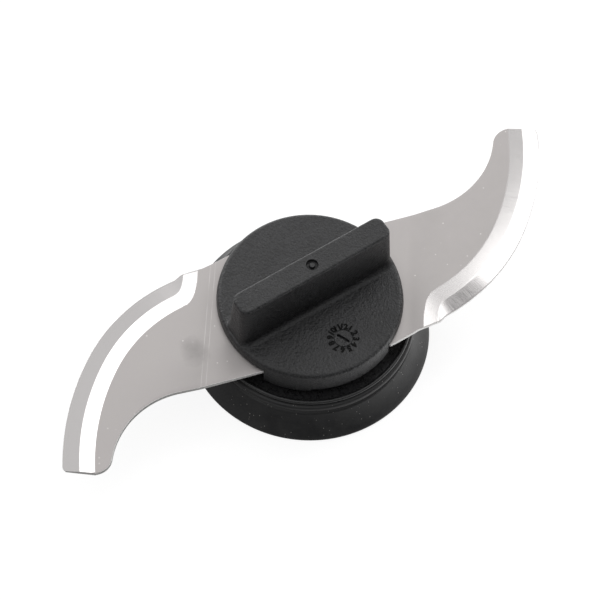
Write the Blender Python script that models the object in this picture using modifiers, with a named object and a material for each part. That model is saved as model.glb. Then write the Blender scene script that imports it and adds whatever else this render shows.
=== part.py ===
"""Food processor blade unit: an S-shaped steel blade clamped between a grip cap and a hub with a lip seal.

Metres, +Z up. The origin is the centre of the seal's rim, on the surface that the unit stands on, and
+Z is the axis that it turns about. The two wings of the blade reach out along X, and the unit looks the
same after half a turn about Z, apart from the date mark on the cap.
"""
import math

import bmesh
import bpy
import numpy as np

MM = 0.001
CLEARANCE = 0.3 * MM             # between two pieces that meet
MERGE = 0.00001                  # merge distance of the modifiers that weld
OVERCUT = 1.0 * MM               # how far a cutter reaches past the face that it opens

# Stack of heights, from the foot of the hub up.
BARREL_BOTTOM = 3.0 * MM         # foot of the hub's barrel above the floor
RING_ROOM = 3.35 * MM            # from that foot to the seal's collar
COLLAR_HEIGHT = 4.4 * MM
RIM_THICKNESS = 1.4 * MM         # rim of the hub, over the collar
RIM_BEAD = 0.55 * MM             # radius of the rounded rim, which stands as far above the dish
NECK_HEIGHT = 4.9 * MM           # from the dish to the hub's top
PLATE_THICKNESS = 1.3 * MM       # blade
CAP_PLATE = 2.9 * MM             # cap, over the blade
GRIP_HEIGHT = 16.1 * MM          # bar, above the cap's face
SKIRT_REACH = 2.6 * MM           # skirt of the cap, below the blade
SKIRT_STEP = 0.9 * MM            # one part of each skirt arc reaches this much lower
SPIGOT_HEIGHT = 1.2 * MM         # above the blade
HUB_FLOOR = 2.8 * MM             # thickness of the hub under the blade
BOSS_BOTTOM = 1.6 * MM
SCREW_BOSS_HEIGHT = 7.8 * MM
RIB_BOTTOM = 5.0 * MM

# Stack of widths, from the axis out.
DRIVE_ACROSS_FLATS = 10.0 * MM
BUSH_WALL = 3.0 * MM
BOSS_WALL = 2.1 * MM
SCREW_GAP = 1.2 * MM             # between the boss and a washer
WASHER_RADIUS = 4.2 * MM
WASHER_MARGIN = 0.2 * MM         # how much wider its boss is
SCREW_ROOM = 3.9 * MM            # from a screw's axis to the inside of the neck
NECK_WALL = 2.6 * MM
SKIRT_WALL = 2.75 * MM
BARREL_STEP = 2.0 * MM           # how much further out the barrel is than the neck
BARREL_WALL = 2.3 * MM
RIM_REACH = 4.1 * MM             # from the barrel to the rim's edge
COLLAR_REACH = 4.9 * MM          # from the barrel to the bead of the collar
GROOVE_REACH = 3.3 * MM          # to the undercut between the collar and the bell
BELL_REACH = 4.8 * MM            # to the bell's shoulder
BELL_FLARE = 4.7 * MM            # how much wider the bell is at its rim
BELL_WALL = 1.7 * MM

# Blade plate. The left wing is given; the right one is the same after half a turn.
TIP_DROP = 56.1 * MM             # furthest point from the axis along Y
CUTTING_CENTRE_X = -10.1 * MM
CUTTING_CENTRE_Y = -39.6 * MM
CUTTING_RADIUS = 50.45 * MM      # first arc of the cutting edge
CUTTING_START = math.radians(122.3)
CUTTING_TURN = math.radians(160.5)       # where the second arc follows
TIP_RADIUS = 72.6 * MM           # second arc
SHOULDER_CORNER_X = 1.5 * MM     # from the start of the cutting edge
SHOULDER_CORNER_Y = 1.75 * MM
SHOULDER_CORNER_ROUND = 1.2 * MM
SHOULDER_ROOT_X = 7.2 * MM
SHOULDER_ROOT_Y = 4.3 * MM
SHOULDER_ROOT_ROUND = 3.0 * MM
EAR_ANGLE = math.radians(150.3)  # where the front edge leaves the cap
EAR_REACH = 0.1 * MM             # how far the ear stands out of the skirt
BACK_RADIUS = 24.1 * MM          # concave back edge
BACK_CENTRE_X = -24.8 * MM
BACK_SLOPE = math.radians(20.0)  # of its straight part, next to the cap
BACK_OFFSET = 17.22 * MM         # distance of that part from the axis
TIP_OUTER_ROUND = 1.6 * MM
TIP_INNER_ROUND = 5.0 * MM
BEND_REACH = 1.65 * MM           # distance of the bend line from the cap
BEND_HALF_WIDTH = 2.5 * MM
WING_SLOPE = math.radians(7.4)   # of the wing beyond the bend
OUTER_FACET = 4.1 * MM           # ground facet along the cutting edge
INNER_FACET = 4.1 * MM           # second facet, next to the flat of the plate
OUTER_FACET_SLOPE = math.radians(9.5)
INNER_FACET_SLOPE = math.radians(4.0)
OUTER_RUNOUT = 4.5 * MM          # length over which the facet fades out at the shoulder
FACETS_RUNOUT = 7.0 * MM         # the same for both facets together
RUNOUT_ANGLE = math.radians(35)  # direction in which they fade out
FACET_SEAM = 0.4 * MM            # spacing of the facet lines where nothing is ground
FAN_X = 7.0 * MM                 # centre of the fan of sections, from the start of the cutting edge
FAN_Y = 7.2 * MM                 # and from the centre of the back edge

# Grip cap.
CAP_DRAFT = 0.25 * MM            # how much smaller the skirt is at the top
CAP_EDGE = 1.2 * MM              # rounding of the top edge
SKIRT_EDGE = 0.3 * MM
SKIRT_STEP_ANGLE = math.radians(273.7)
SKIRT_STEP_TURN = math.radians(70)
GRIP_ANGLE = math.radians(35.7)
GRIP_HALF_WIDTH = 3.45 * MM      # at the top
GRIP_INSET = 1.95 * MM           # from the skirt to the bar's ends, at the top
GRIP_DRAFT_SIDE = 0.75 * MM      # how much wider it is at its foot, each side
GRIP_DRAFT_END = 0.7 * MM
GRIP_CORNER = 2.4 * MM
GRIP_EDGE = 0.7 * MM
GRIP_FILLET_SIDE = 1.6 * MM
GRIP_FILLET_END = 0.3 * MM
POCKET_WIDTH = 3.2 * MM          # pockets from below keep the walls of the grip even
POCKET_LENGTH = 4.4 * MM
POCKET_ROOF = 3.2 * MM
GATE_RADIUS = 1.45 * MM          # ring mark with a nub in the middle of the grip
GATE_NUB = 0.6 * MM
GATE_DEPTH = 0.5 * MM
DATE_X = 9.4 * MM                # moulded date mark
DATE_Y = -12.9 * MM
DATE_RADIUS = 2.35 * MM          # plain disc in its middle
DATE_GROOVE = 0.3 * MM
DATE_DEPTH = 0.25 * MM
ARROW_LENGTH = 3.6 * MM
ARROW_WIDTH = 1.0 * MM
ARROW_DEPTH = 0.5 * MM
ARROW_ANGLE = math.radians(-27.0)

# Screws that clamp cap, plate and hub together, with their washers.
SCREW_RADIUS = 2.0 * MM
SCREW_IN_CAP = 11.0 * MM         # length that goes into the grip
SCREW_POINT = 2.2 * MM
SCREW_TIP = 0.5 * MM             # radius of the point
SCREW_HEAD_RADIUS = 3.4 * MM
SCREW_HEAD_HEIGHT = 2.4 * MM
RECESS_SPAN = 3.8 * MM
RECESS_WIDTH = 0.9 * MM
RECESS_DEPTH = 1.3 * MM
WASHER_THICKNESS = 0.8 * MM

# Hub and drive bush.
SPIGOT_RADIUS = 6.0 * MM         # goes through the plate's middle hole
HUB_EDGE = 0.4 * MM
NECK_FILLET = 1.5 * MM
DISH_SAG = 0.2 * MM
RIM_UNDERCUT = 0.5 * MM          # how much smaller the rim is at its underside
TAPER_BELOW = 1.2 * MM           # where the barrel's inside starts to step in, below the rim's underside
TAPER_HEIGHT = 1.6 * MM
SNAP_BEAD = 0.7 * MM             # holds the retaining ring
SNAP_RISE = 0.6 * MM             # height of the bead's edge above the barrel's foot
SNAP_FADE = 0.3 * MM
RIB_COUNT = 6
RIB_THICKNESS = 1.6 * MM
BUSH_CHAMFER = 0.5 * MM

# Lip seal and the ring that holds it.
COLLAR_LIP = 2.2 * MM            # height of the rounded bead of the collar
LIP_INSET = 0.2 * MM             # of the bead, below the collar's top
GROOVE_HEIGHT = 0.7 * MM         # undercut between the collar and the bell
GROOVE_ROUND = 0.2 * MM
SHOULDER_DROP = 0.5 * MM         # rounding of the bell's shoulder
SLOPE_SAG = 0.25 * MM            # how far the bell's slope hangs in
RIM_FOOT = 0.9 * MM              # height at which the slope meets the rounded rim
RIM_ROUND = 0.35 * MM
RIM_LAND = 0.9 * MM              # flat of the rim that the unit stands on
RING_THICKNESS = 2.1 * MM
RING_CHAMFER = 0.4 * MM

ROUND_STEPS = 64
SMALL_STEPS = 24

# Heights and radii that follow from the sizes above.
COLLAR_BOTTOM = BARREL_BOTTOM + RING_ROOM
COLLAR_TOP = COLLAR_BOTTOM + COLLAR_HEIGHT
RIM_UNDERSIDE = COLLAR_TOP + CLEARANCE
RIM_TOP = RIM_UNDERSIDE + RIM_THICKNESS
DISH_FLOOR = RIM_TOP - RIM_BEAD
HUB_TOP = DISH_FLOOR + NECK_HEIGHT
PLATE_BOTTOM = HUB_TOP + CLEARANCE
PLATE_TOP = PLATE_BOTTOM + PLATE_THICKNESS
CEILING = PLATE_TOP + CLEARANCE
CAP_TOP = CEILING + CAP_PLATE
GRIP_TOP = CAP_TOP + GRIP_HEIGHT
SKIRT_BOTTOM = PLATE_BOTTOM - SKIRT_REACH
SPIGOT_TOP = PLATE_TOP + SPIGOT_HEIGHT
SCREW_BOSS_BOTTOM = HUB_TOP - SCREW_BOSS_HEIGHT
SCREW_HEAD_TOP = SCREW_BOSS_BOTTOM - WASHER_THICKNESS - 2 * CLEARANCE
SCREW_END = CEILING + SCREW_IN_CAP
BUSH_BOTTOM = BOSS_BOTTOM + CLEARANCE
BUSH_TOP = HUB_TOP - HUB_FLOOR - CLEARANCE

BUSH_RADIUS = DRIVE_ACROSS_FLATS / 2 + BUSH_WALL
BOSS_RADIUS = BUSH_RADIUS + CLEARANCE + BOSS_WALL
SCREW_CIRCLE = BOSS_RADIUS + SCREW_GAP + WASHER_RADIUS
SCREW_BOSS_RADIUS = WASHER_RADIUS + WASHER_MARGIN
NECK_RADIUS = SCREW_CIRCLE + SCREW_ROOM + NECK_WALL
SKIRT_INNER = NECK_RADIUS + CLEARANCE
CAP_RADIUS = SKIRT_INNER + SKIRT_WALL
GRIP_HALF_LENGTH = CAP_RADIUS - GRIP_INSET
BEND_AT = CAP_RADIUS + BEND_REACH
BARREL_RADIUS = NECK_RADIUS + BARREL_STEP
RIM_RADIUS = BARREL_RADIUS + RIM_REACH
COLLAR_RADIUS = BARREL_RADIUS + COLLAR_REACH
GROOVE_RADIUS = BARREL_RADIUS + GROOVE_REACH
BELL_SHOULDER = BARREL_RADIUS + BELL_REACH
BELL_RADIUS = BELL_SHOULDER + BELL_FLARE
RING_RADIUS = BELL_SHOULDER - BELL_WALL - CLEARANCE

CUTTING_CENTRE = (CUTTING_CENTRE_X, CUTTING_CENTRE_Y)
BACK_CENTRE = (BACK_CENTRE_X, (BACK_CENTRE_X * math.sin(BACK_SLOPE) - BACK_RADIUS - BACK_OFFSET)
               / math.cos(BACK_SLOPE))
DATE_CENTRE = (DATE_X, DATE_Y)


# Tools for meshes and modifiers.

def clear_scene():
    for item in list(bpy.data.objects):
        bpy.data.objects.remove(item, do_unlink=True)


def make_collection(name):
    collection = bpy.data.collections.new(name)
    bpy.context.scene.collection.children.link(collection)
    return collection


def add_object(name, mesh, collection):
    item = bpy.data.objects.new(name, mesh)
    collection.objects.link(item)
    if collection is cutters:
        item.hide_render = True
        item.display_type = 'WIRE'
    return item


def turned(name, profile, collection, closed=False, steps=ROUND_STEPS):
    """A profile of (radius, height) points, down its outer side, turned about Z."""
    mesh = bpy.data.meshes.new(name)
    points = [(radius, 0.0, height) for radius, height in profile]
    edges = [(i, i + 1) for i in range(len(points) - 1)]
    if closed:
        edges.append((len(points) - 1, 0))
    mesh.from_pydata(points, edges, [])
    item = add_object(name, mesh, collection)
    screw = item.modifiers.new("Turn", 'SCREW')
    screw.axis = 'Z'
    screw.angle = 2 * math.pi
    screw.steps = steps
    screw.render_steps = steps
    screw.use_merge_vertices = True
    screw.merge_threshold = MERGE
    return item


def prism(name, outline, low, high, collection):
    """A flat outline of (x, y) points, extruded from one height to another."""
    mesh = bpy.data.meshes.new(name)
    work = bmesh.new()
    face = work.faces.new([work.verts.new((x, y, low)) for x, y in outline])
    extruded = bmesh.ops.extrude_face_region(work, geom=[face])
    moved = [v for v in extruded["geom"] if isinstance(v, bmesh.types.BMVert)]
    bmesh.ops.translate(work, verts=moved, vec=(0, 0, high - low))
    bmesh.ops.recalc_face_normals(work, faces=work.faces)
    work.to_mesh(mesh)
    work.free()
    return add_object(name, mesh, collection)


def cylinder(name, radius, low, high, collection, at=(0.0, 0.0), sides=SMALL_STEPS):
    mesh = bpy.data.meshes.new(name)
    work = bmesh.new()
    bmesh.ops.create_cone(work, cap_ends=True, segments=sides, radius1=radius, radius2=radius,
                          depth=high - low)
    bmesh.ops.translate(work, verts=work.verts, vec=(at[0], at[1], (low + high) / 2))
    work.to_mesh(mesh)
    work.free()
    return add_object(name, mesh, collection)


def box(name, size, centre, collection, angle=0.0):
    mesh = bpy.data.meshes.new(name)
    work = bmesh.new()
    bmesh.ops.create_cube(work, size=1.0)
    bmesh.ops.scale(work, verts=work.verts, vec=size)
    work.to_mesh(mesh)
    work.free()
    item = add_object(name, mesh, collection)
    item.location = centre
    item.rotation_euler = (0.0, 0.0, angle)
    return item


def loft(name, sections, collection):
    """Skin over sections with equal numbers of points, closed with a face at each end."""
    mesh = bpy.data.meshes.new(name)
    work = bmesh.new()
    rings = [[work.verts.new(point) for point in section] for section in sections]
    count = len(rings[0])
    for near, far in zip(rings[:-1], rings[1:]):
        for i in range(count):
            work.faces.new((near[i], near[(i + 1) % count], far[(i + 1) % count], far[i]))
    work.faces.new(rings[0])
    work.faces.new(rings[-1])
    bmesh.ops.recalc_face_normals(work, faces=work.faces)
    work.to_mesh(mesh)
    work.free()
    return add_object(name, mesh, collection)


def combine(item, other, operation='DIFFERENCE'):
    boolean = item.modifiers.new(other.name, 'BOOLEAN')
    boolean.operation = operation
    boolean.solver = 'EXACT'
    boolean.object = other


def finish(item, material):
    """Keeps the evaluated mesh, shaded smooth up to its sharp edges."""
    graph = bpy.context.evaluated_depsgraph_get()
    mesh = bpy.data.meshes.new_from_object(item.evaluated_get(graph))
    item.modifiers.clear()
    item.data = mesh
    mesh.name = item.name
    mesh.materials.clear()
    mesh.materials.append(material)
    mesh.shade_smooth()
    mesh.set_sharp_from_angle(angle=math.radians(32))


def make_material(name, colour, roughness, metallic=0.0):
    material = bpy.data.materials.new(name)
    material.use_nodes = True
    shader = material.node_tree.nodes["Principled BSDF"]
    shader.inputs["Base Color"].default_value = (*colour, 1.0)
    shader.inputs["Roughness"].default_value = roughness
    shader.inputs["Metallic"].default_value = metallic
    material.diffuse_color = (*colour, 1.0)
    return material


# Tools for outlines: lists of (x, y) points.

def arc(centre, radius, start, end, count):
    angles = np.linspace(start, end, count)
    return [(centre[0] + radius * math.cos(a), centre[1] + radius * math.sin(a)) for a in angles]


def polar(radius, angle):
    return (radius * math.cos(angle), radius * math.sin(angle))


def rounded_corner(before, corner, after, radius, count=6):
    """Points of a fillet of the given radius at the corner of two straight lines."""
    to_before = np.subtract(before, corner)
    to_after = np.subtract(after, corner)
    to_before = to_before / np.linalg.norm(to_before)
    to_after = to_after / np.linalg.norm(to_after)
    half = math.acos(float(np.clip(to_before @ to_after, -1.0, 1.0))) / 2
    middle = to_before + to_after
    centre = np.array(corner) + middle / np.linalg.norm(middle) * radius / math.sin(half)
    start = np.array(corner) + to_before * radius / math.tan(half) - centre
    end = np.array(corner) + to_after * radius / math.tan(half) - centre
    first = math.atan2(start[1], start[0])
    sweep = (math.atan2(end[1], end[0]) - first + math.pi) % (2 * math.pi) - math.pi
    return arc(tuple(centre), radius, first, first + sweep, count)


def grown(outline, distance):
    """A closed outline, moved outwards by a small distance."""
    points = np.array(outline)
    ahead = np.roll(points, -1, axis=0) - points
    ahead /= np.linalg.norm(ahead, axis=1)[:, None]
    behind = np.roll(ahead, 1, axis=0)
    area = np.sum(points[:, 0] * np.roll(points[:, 1], -1) - points[:, 1] * np.roll(points[:, 0], -1))
    side = 1.0 if area > 0 else -1.0
    out_ahead = np.column_stack([ahead[:, 1], -ahead[:, 0]]) * side
    out_behind = np.column_stack([behind[:, 1], -behind[:, 0]]) * side
    mitre = out_ahead + out_behind
    mitre /= np.sum(mitre * out_ahead, axis=1)[:, None]
    return [tuple(p) for p in points + mitre * distance]


# The blade.

def tip_centre():
    """Centre of the second arc of the cutting edge, which is tangent to the first one."""
    out = polar(CUTTING_RADIUS - TIP_RADIUS, CUTTING_TURN)
    return (CUTTING_CENTRE[0] + out[0], CUTTING_CENTRE[1] + out[1])


def shoulder_points():
    """The start of the cutting edge, and the two corners of the shoulder between it and the cap."""
    out = polar(CUTTING_RADIUS, CUTTING_START)
    start = (CUTTING_CENTRE[0] + out[0], CUTTING_CENTRE[1] + out[1])
    corner = (start[0] + SHOULDER_CORNER_X, start[1] + SHOULDER_CORNER_Y)
    root = (start[0] + SHOULDER_ROOT_X, start[1] + SHOULDER_ROOT_Y)
    return start, corner, root


def front_edge():
    """Left wing's convex edge, from above the axis to the middle of the tip's end."""
    centre = tip_centre()
    start, corner, root = shoulder_points()
    ear = polar(CAP_RADIUS + EAR_REACH, EAR_ANGLE)
    drop = TIP_DROP - TIP_OUTER_ROUND
    last = math.pi + math.asin((drop + centre[1]) / TIP_RADIUS)
    points = arc((0, 0), NECK_RADIUS, math.pi / 2, EAR_ANGLE, 14)
    points.append(ear)
    points += rounded_corner(ear, root, corner, SHOULDER_ROOT_ROUND)
    points += rounded_corner(root, corner, start, SHOULDER_CORNER_ROUND)
    points += arc(CUTTING_CENTRE, CUTTING_RADIUS, CUTTING_START, CUTTING_TURN, 22)
    points += arc(centre, TIP_RADIUS, CUTTING_TURN, last, 22)[1:]
    side = points[-1]
    foot = (side[0], -TIP_DROP)
    points += rounded_corner(side, foot, (0.0, foot[1]), TIP_OUTER_ROUND)[1:]
    return points


def back_edge():
    """Left wing's concave edge, from below the axis to the middle of the tip's end."""
    along = np.array([math.cos(BACK_SLOPE), math.sin(BACK_SLOPE)])
    tangent = np.array(BACK_CENTRE) + BACK_RADIUS * np.array([-along[1], along[0]])
    reach = float(tangent @ along)
    inside = math.sqrt(reach ** 2 - float(tangent @ tangent) + NECK_RADIUS ** 2)
    enters = tangent + along * (-reach - inside)
    angle = math.atan2(enters[1], enters[0])
    drop = TIP_DROP - TIP_INNER_ROUND
    last = math.pi - math.asin((BACK_CENTRE[1] + drop) / BACK_RADIUS * -1)
    points = arc((0, 0), NECK_RADIUS, -math.pi / 2, angle, 8)
    points += arc(BACK_CENTRE, BACK_RADIUS, math.pi / 2 + BACK_SLOPE, last, 36)
    side = points[-1]
    foot = (side[0], -TIP_DROP)
    points += rounded_corner(side, foot, (foot[0] - BACK_RADIUS, foot[1]), TIP_INNER_ROUND, 12)[1:]
    return points


def crossing(origin, direction, edge):
    """Where a line from the origin first meets an edge, and the edge's direction there."""
    origin, direction = np.array(origin), np.array(direction)
    best = None
    for near, far in zip(edge[:-1], edge[1:]):
        span = np.subtract(far, near)
        turn = direction[0] * span[1] - direction[1] * span[0]
        if abs(turn) < 1e-12:
            continue
        offset = np.subtract(near, origin)
        reach = (offset[0] * span[1] - offset[1] * span[0]) / turn
        share = (offset[0] * direction[1] - offset[1] * direction[0]) / turn
        if -1e-6 <= share <= 1 + 1e-6 and reach > 0 and (best is None or reach < best[0]):
            best = (reach, span / np.linalg.norm(span))
    return origin + direction * best[0], best[1]


def section_lines():
    """Lines across the left wing: parallel at the hub, a fan over the back edge, parallel at the tip."""
    front, back = front_edge(), back_edge()
    start, corner, root = shoulder_points()
    pivot = (start[0] + FAN_X, BACK_CENTRE[1] + FAN_Y)
    spacing = 0.9 * FACET_SEAM
    columns = [x for x, y in front + back if pivot[0] + spacing < x < -spacing]
    columns += list(-BEND_AT + np.linspace(-1, 1, 7) * BEND_HALF_WIDTH)
    kept = [0.0]
    for x in sorted(columns, reverse=True):
        if x > pivot[0] + spacing and kept[-1] - x > spacing:
            kept.append(x)
    lines = [((x, 0.0), (0.0, 1.0), (0.0, -1.0)) for x in kept]
    runout = [math.atan2(y - pivot[1], x - pivot[0]) for x, y in front
              if start[0] - 0.9 * FACETS_RUNOUT < x < pivot[0]]
    ends = np.linspace(math.pi / 2, math.pi, 26)
    angles = sorted(runout + list(ends))
    kept = []
    for angle in angles:
        if not kept or angle - kept[-1] > 0.008:
            kept.append(angle)
    lines += [(pivot, polar(1.0, a), None) for a in kept]
    corner_top = -(TIP_DROP - TIP_INNER_ROUND)
    rows = list(np.linspace(pivot[1], corner_top, 4)[1:])
    rows += [corner_top - TIP_INNER_ROUND * math.sin(t) for t in np.linspace(0, math.pi / 2, 10)[1:]]
    rows[-1] += 0.0004 * TIP_INNER_ROUND
    lines += [((pivot[0], y), (-1.0, 0.0), None) for y in rows]
    return lines, front, back


def bend(x):
    """Height of the wing above the plane of the hub, at a distance x from the axis."""
    past = abs(x) - BEND_AT
    if past <= -BEND_HALF_WIDTH:
        return 0.0
    if past >= BEND_HALF_WIDTH:
        return math.tan(WING_SLOPE) * past
    return math.tan(WING_SLOPE) * (past + BEND_HALF_WIDTH) ** 2 / (4 * BEND_HALF_WIDTH)


def runout_share(length, over):
    """Share of a facet's width at a length past the point where it starts: a quarter of an ellipse."""
    if length <= 0:
        return 0.0
    rest = max(0.0, 1 - length / over)
    return math.sqrt(1 - rest * rest)


def wing_sections():
    """Sections of the left wing from the axis to the tip, each with eight points."""
    lines, front, back = section_lines()
    start, corner, root = shoulder_points()
    fading = np.array(polar(1.0, RUNOUT_ANGLE))
    sections = []
    for origin, to_front, to_back in lines:
        a, along = crossing(origin, to_front, front)
        if to_back is None:
            b, _ = crossing(origin, to_front, back)
        else:
            b, _ = crossing(origin, to_back, back)
        across = (b - a) / np.linalg.norm(b - a)
        edge, along = cutting_line(a, across, along)
        normal = np.array([along[1], -along[0]])
        lean = max(0.5, abs(float(across @ normal)))
        past = float((np.array(corner) - a) @ fading)
        total = (OUTER_FACET + INNER_FACET) * runout_share(past + INNER_FACET, FACETS_RUNOUT)
        outer = OUTER_FACET * runout_share(past, OUTER_RUNOUT)
        drop_inner = (total - outer) * math.tan(INNER_FACET_SLOPE)
        drop_outer = drop_inner + outer * math.tan(OUTER_FACET_SLOPE)
        outer_at = max(outer / lean, FACET_SEAM)
        total_at = max(total / lean, outer_at + FACET_SEAM)
        room = float((b - edge) @ across) - 3 * FACET_SEAM
        total_at = min(total_at, room)
        outer_at = min(outer_at, total_at - FACET_SEAM)
        one = edge + across * outer_at
        two = edge + across * total_at
        cut_off = min(1.0, float((a - edge) @ across) / max(outer_at, FACET_SEAM))
        edge_drop = drop_outer * (1 - cut_off) + drop_inner * cut_off
        three = b - across * 2 * FACET_SEAM
        four = b - across * FACET_SEAM
        points = [(a, PLATE_BOTTOM), (a, PLATE_TOP - edge_drop), (one, PLATE_TOP - drop_inner),
                  (two, PLATE_TOP), (three, PLATE_TOP), (four, PLATE_TOP), (b, PLATE_TOP), (b, PLATE_BOTTOM)]
        sections.append([(p[0], p[1], z + bend(p[0])) for p, z in points])
    return sections


def cutting_line(point, across, along):
    """The cutting edge before the tip's corner is rounded off: a point on it and its direction."""
    if point[1] > -(TIP_DROP - 2 * TIP_OUTER_ROUND):
        return point, along
    offset = point - np.array(tip_centre())
    reach = float(offset @ across)
    inside = reach ** 2 - float(offset @ offset) + TIP_RADIUS ** 2
    edge = point + across * (-reach - math.sqrt(inside))
    radial = (edge - np.array(tip_centre())) / TIP_RADIUS
    return edge, np.array([-radial[1], radial[0]])


def make_blade(material):
    left = wing_sections()
    right = [[(-x, -y, z) for x, y, z in (s[7], s[6], s[5], s[4], s[3], s[2], s[1], s[0])] for s in left[1:]]
    blade = loft("blade", right[::-1] + left, parts)
    low, high = PLATE_BOTTOM - OVERCUT, PLATE_TOP + OVERCUT
    combine(blade, cylinder("blade_middle_hole", SPIGOT_RADIUS + CLEARANCE, low, high, cutters, sides=36))
    for number, place in enumerate(screw_places(), 1):
        combine(blade, cylinder(f"blade_screw_hole_{number}", SCREW_RADIUS + CLEARANCE, low, high, cutters,
                                at=place))
    finish(blade, material)


def plate_outline():
    """Outline of the plate within the reach of the cap, both wings."""
    limit = shoulder_points()[0][0]
    front = [p for p in front_edge() if p[0] > limit]
    back = [p for p in back_edge() if p[0] > limit]
    along = math.tan(BACK_SLOPE)
    back.append((limit, back[-1][1] + along * (limit - back[-1][0])))
    front.append((limit, front[-1][1]))
    left = front + back[::-1]
    return left[:-1] + [(-x, -y) for x, y in left[:-1]]


# The grip cap.

def screw_places():
    return [polar(SCREW_CIRCLE, GRIP_ANGLE), polar(SCREW_CIRCLE, GRIP_ANGLE + math.pi)]


def rounded_rectangle(half_length, half_width, radius, count=5):
    points = []
    for sx, sy, first in ((1, 1, 0), (-1, 1, 1), (-1, -1, 2), (1, -1, 3)):
        centre = (sx * (half_length - radius), sy * (half_width - radius))
        points += arc(centre, radius, first * math.pi / 2, (first + 1) * math.pi / 2, count)
    return points


def grip_levels():
    """Half length, half width and height of the grip's outline, from the cap's face to the top."""
    wall_foot = CAP_TOP + GRIP_FILLET_SIDE
    wall_top = GRIP_TOP - GRIP_EDGE
    foot_length = GRIP_HALF_LENGTH + GRIP_DRAFT_END
    foot_width = GRIP_HALF_WIDTH + GRIP_DRAFT_SIDE
    levels = [(foot_length + GRIP_FILLET_END, foot_width + GRIP_FILLET_SIDE, CAP_TOP - CAP_PLATE / 3)]
    for t in np.linspace(0, math.pi / 2, 6):
        out = 1 - math.sin(t)
        levels.append((foot_length + GRIP_FILLET_END * out, foot_width + GRIP_FILLET_SIDE * out,
                       CAP_TOP + GRIP_FILLET_SIDE * (1 - math.cos(t))))
    for t in np.linspace(0, math.pi / 2, 5):
        inset = GRIP_EDGE * (1 - math.cos(t))
        levels.append((GRIP_HALF_LENGTH - inset, GRIP_HALF_WIDTH - inset, wall_top + GRIP_EDGE * math.sin(t)))
    return levels


def make_cap(material):
    top_radius = CAP_RADIUS - CAP_DRAFT
    low = SKIRT_BOTTOM - SKIRT_STEP
    profile = [(0, CAP_TOP)]
    profile += [(top_radius - CAP_EDGE + CAP_EDGE * math.sin(t), CAP_TOP - CAP_EDGE + CAP_EDGE * math.cos(t))
                for t in np.linspace(0, math.pi / 2, 6)]
    profile += [(CAP_RADIUS, low + SKIRT_EDGE), (CAP_RADIUS - SKIRT_EDGE, low), (SKIRT_INNER, low),
                (SKIRT_INNER, CEILING), (0, CEILING)]
    cap = turned("grip_cap", profile, parts)

    sections = []
    cos, sin = math.cos(GRIP_ANGLE), math.sin(GRIP_ANGLE)
    for half_length, half_width, height in grip_levels():
        outline = rounded_rectangle(half_length, half_width, min(GRIP_CORNER, half_width * 0.95))
        sections.append([(x * cos - y * sin, x * sin + y * cos, height) for x, y in outline])
    grip = loft("grip", sections, cutters)
    combine(cap, grip, 'UNION')

    low_end = low - OVERCUT
    combine(cap, prism("plate_passage", grown(plate_outline(), CLEARANCE), low_end, CEILING, cutters))
    for number, turn in enumerate((0.0, math.pi), 1):
        wedge = [(0.0, 0.0)] + [polar(1.6 * CAP_RADIUS, SKIRT_STEP_ANGLE + turn + a)
                                for a in np.linspace(0, SKIRT_STEP_TURN, 4)]
        combine(cap, prism(f"skirt_step_{number}", wedge, low_end, SKIRT_BOTTOM, cutters))

    combine(cap, cylinder("spigot_recess", SPIGOT_RADIUS + CLEARANCE, CEILING - OVERCUT,
                          SPIGOT_TOP + CLEARANCE, cutters, sides=36))
    pocket_at = (SPIGOT_RADIUS + SCREW_CIRCLE - SCREW_RADIUS) / 2
    pocket_top = GRIP_TOP - POCKET_ROOF
    for number, (place, turn) in enumerate(zip(screw_places(), (0.0, math.pi)), 1):
        combine(cap, cylinder(f"cap_screw_hole_{number}", SCREW_RADIUS + CLEARANCE, CEILING - OVERCUT,
                              SCREW_END + CLEARANCE, cutters, at=place))
        x, y = polar(pocket_at, GRIP_ANGLE + turn)
        size = (POCKET_LENGTH, POCKET_WIDTH, pocket_top - CEILING + OVERCUT)
        combine(cap, box(f"grip_pocket_{number}", size, (x, y, pocket_top - size[2] / 2), cutters,
                         angle=GRIP_ANGLE))

    gate = [(GATE_NUB, GRIP_TOP + OVERCUT), (GATE_RADIUS, GRIP_TOP + OVERCUT),
            (GATE_RADIUS, GRIP_TOP - GATE_DEPTH), (GATE_NUB, GRIP_TOP - GATE_DEPTH)]
    combine(cap, turned("gate_mark", gate, cutters, closed=True, steps=SMALL_STEPS))
    inner, outer = DATE_RADIUS, DATE_RADIUS + DATE_GROOVE
    groove = [(inner, CAP_TOP + OVERCUT), (outer, CAP_TOP + OVERCUT),
              (outer, CAP_TOP - DATE_DEPTH), (inner, CAP_TOP - DATE_DEPTH)]
    date = turned("date_groove", groove, cutters, closed=True, steps=SMALL_STEPS)
    date.location = (*DATE_CENTRE, 0.0)
    combine(cap, date)
    combine(cap, box("date_arrow", (ARROW_LENGTH, ARROW_WIDTH, 2 * ARROW_DEPTH), (*DATE_CENTRE, CAP_TOP),
                     cutters, angle=ARROW_ANGLE))
    finish(cap, material)


# The hub, its drive bush, and what clamps it all together.

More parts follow.
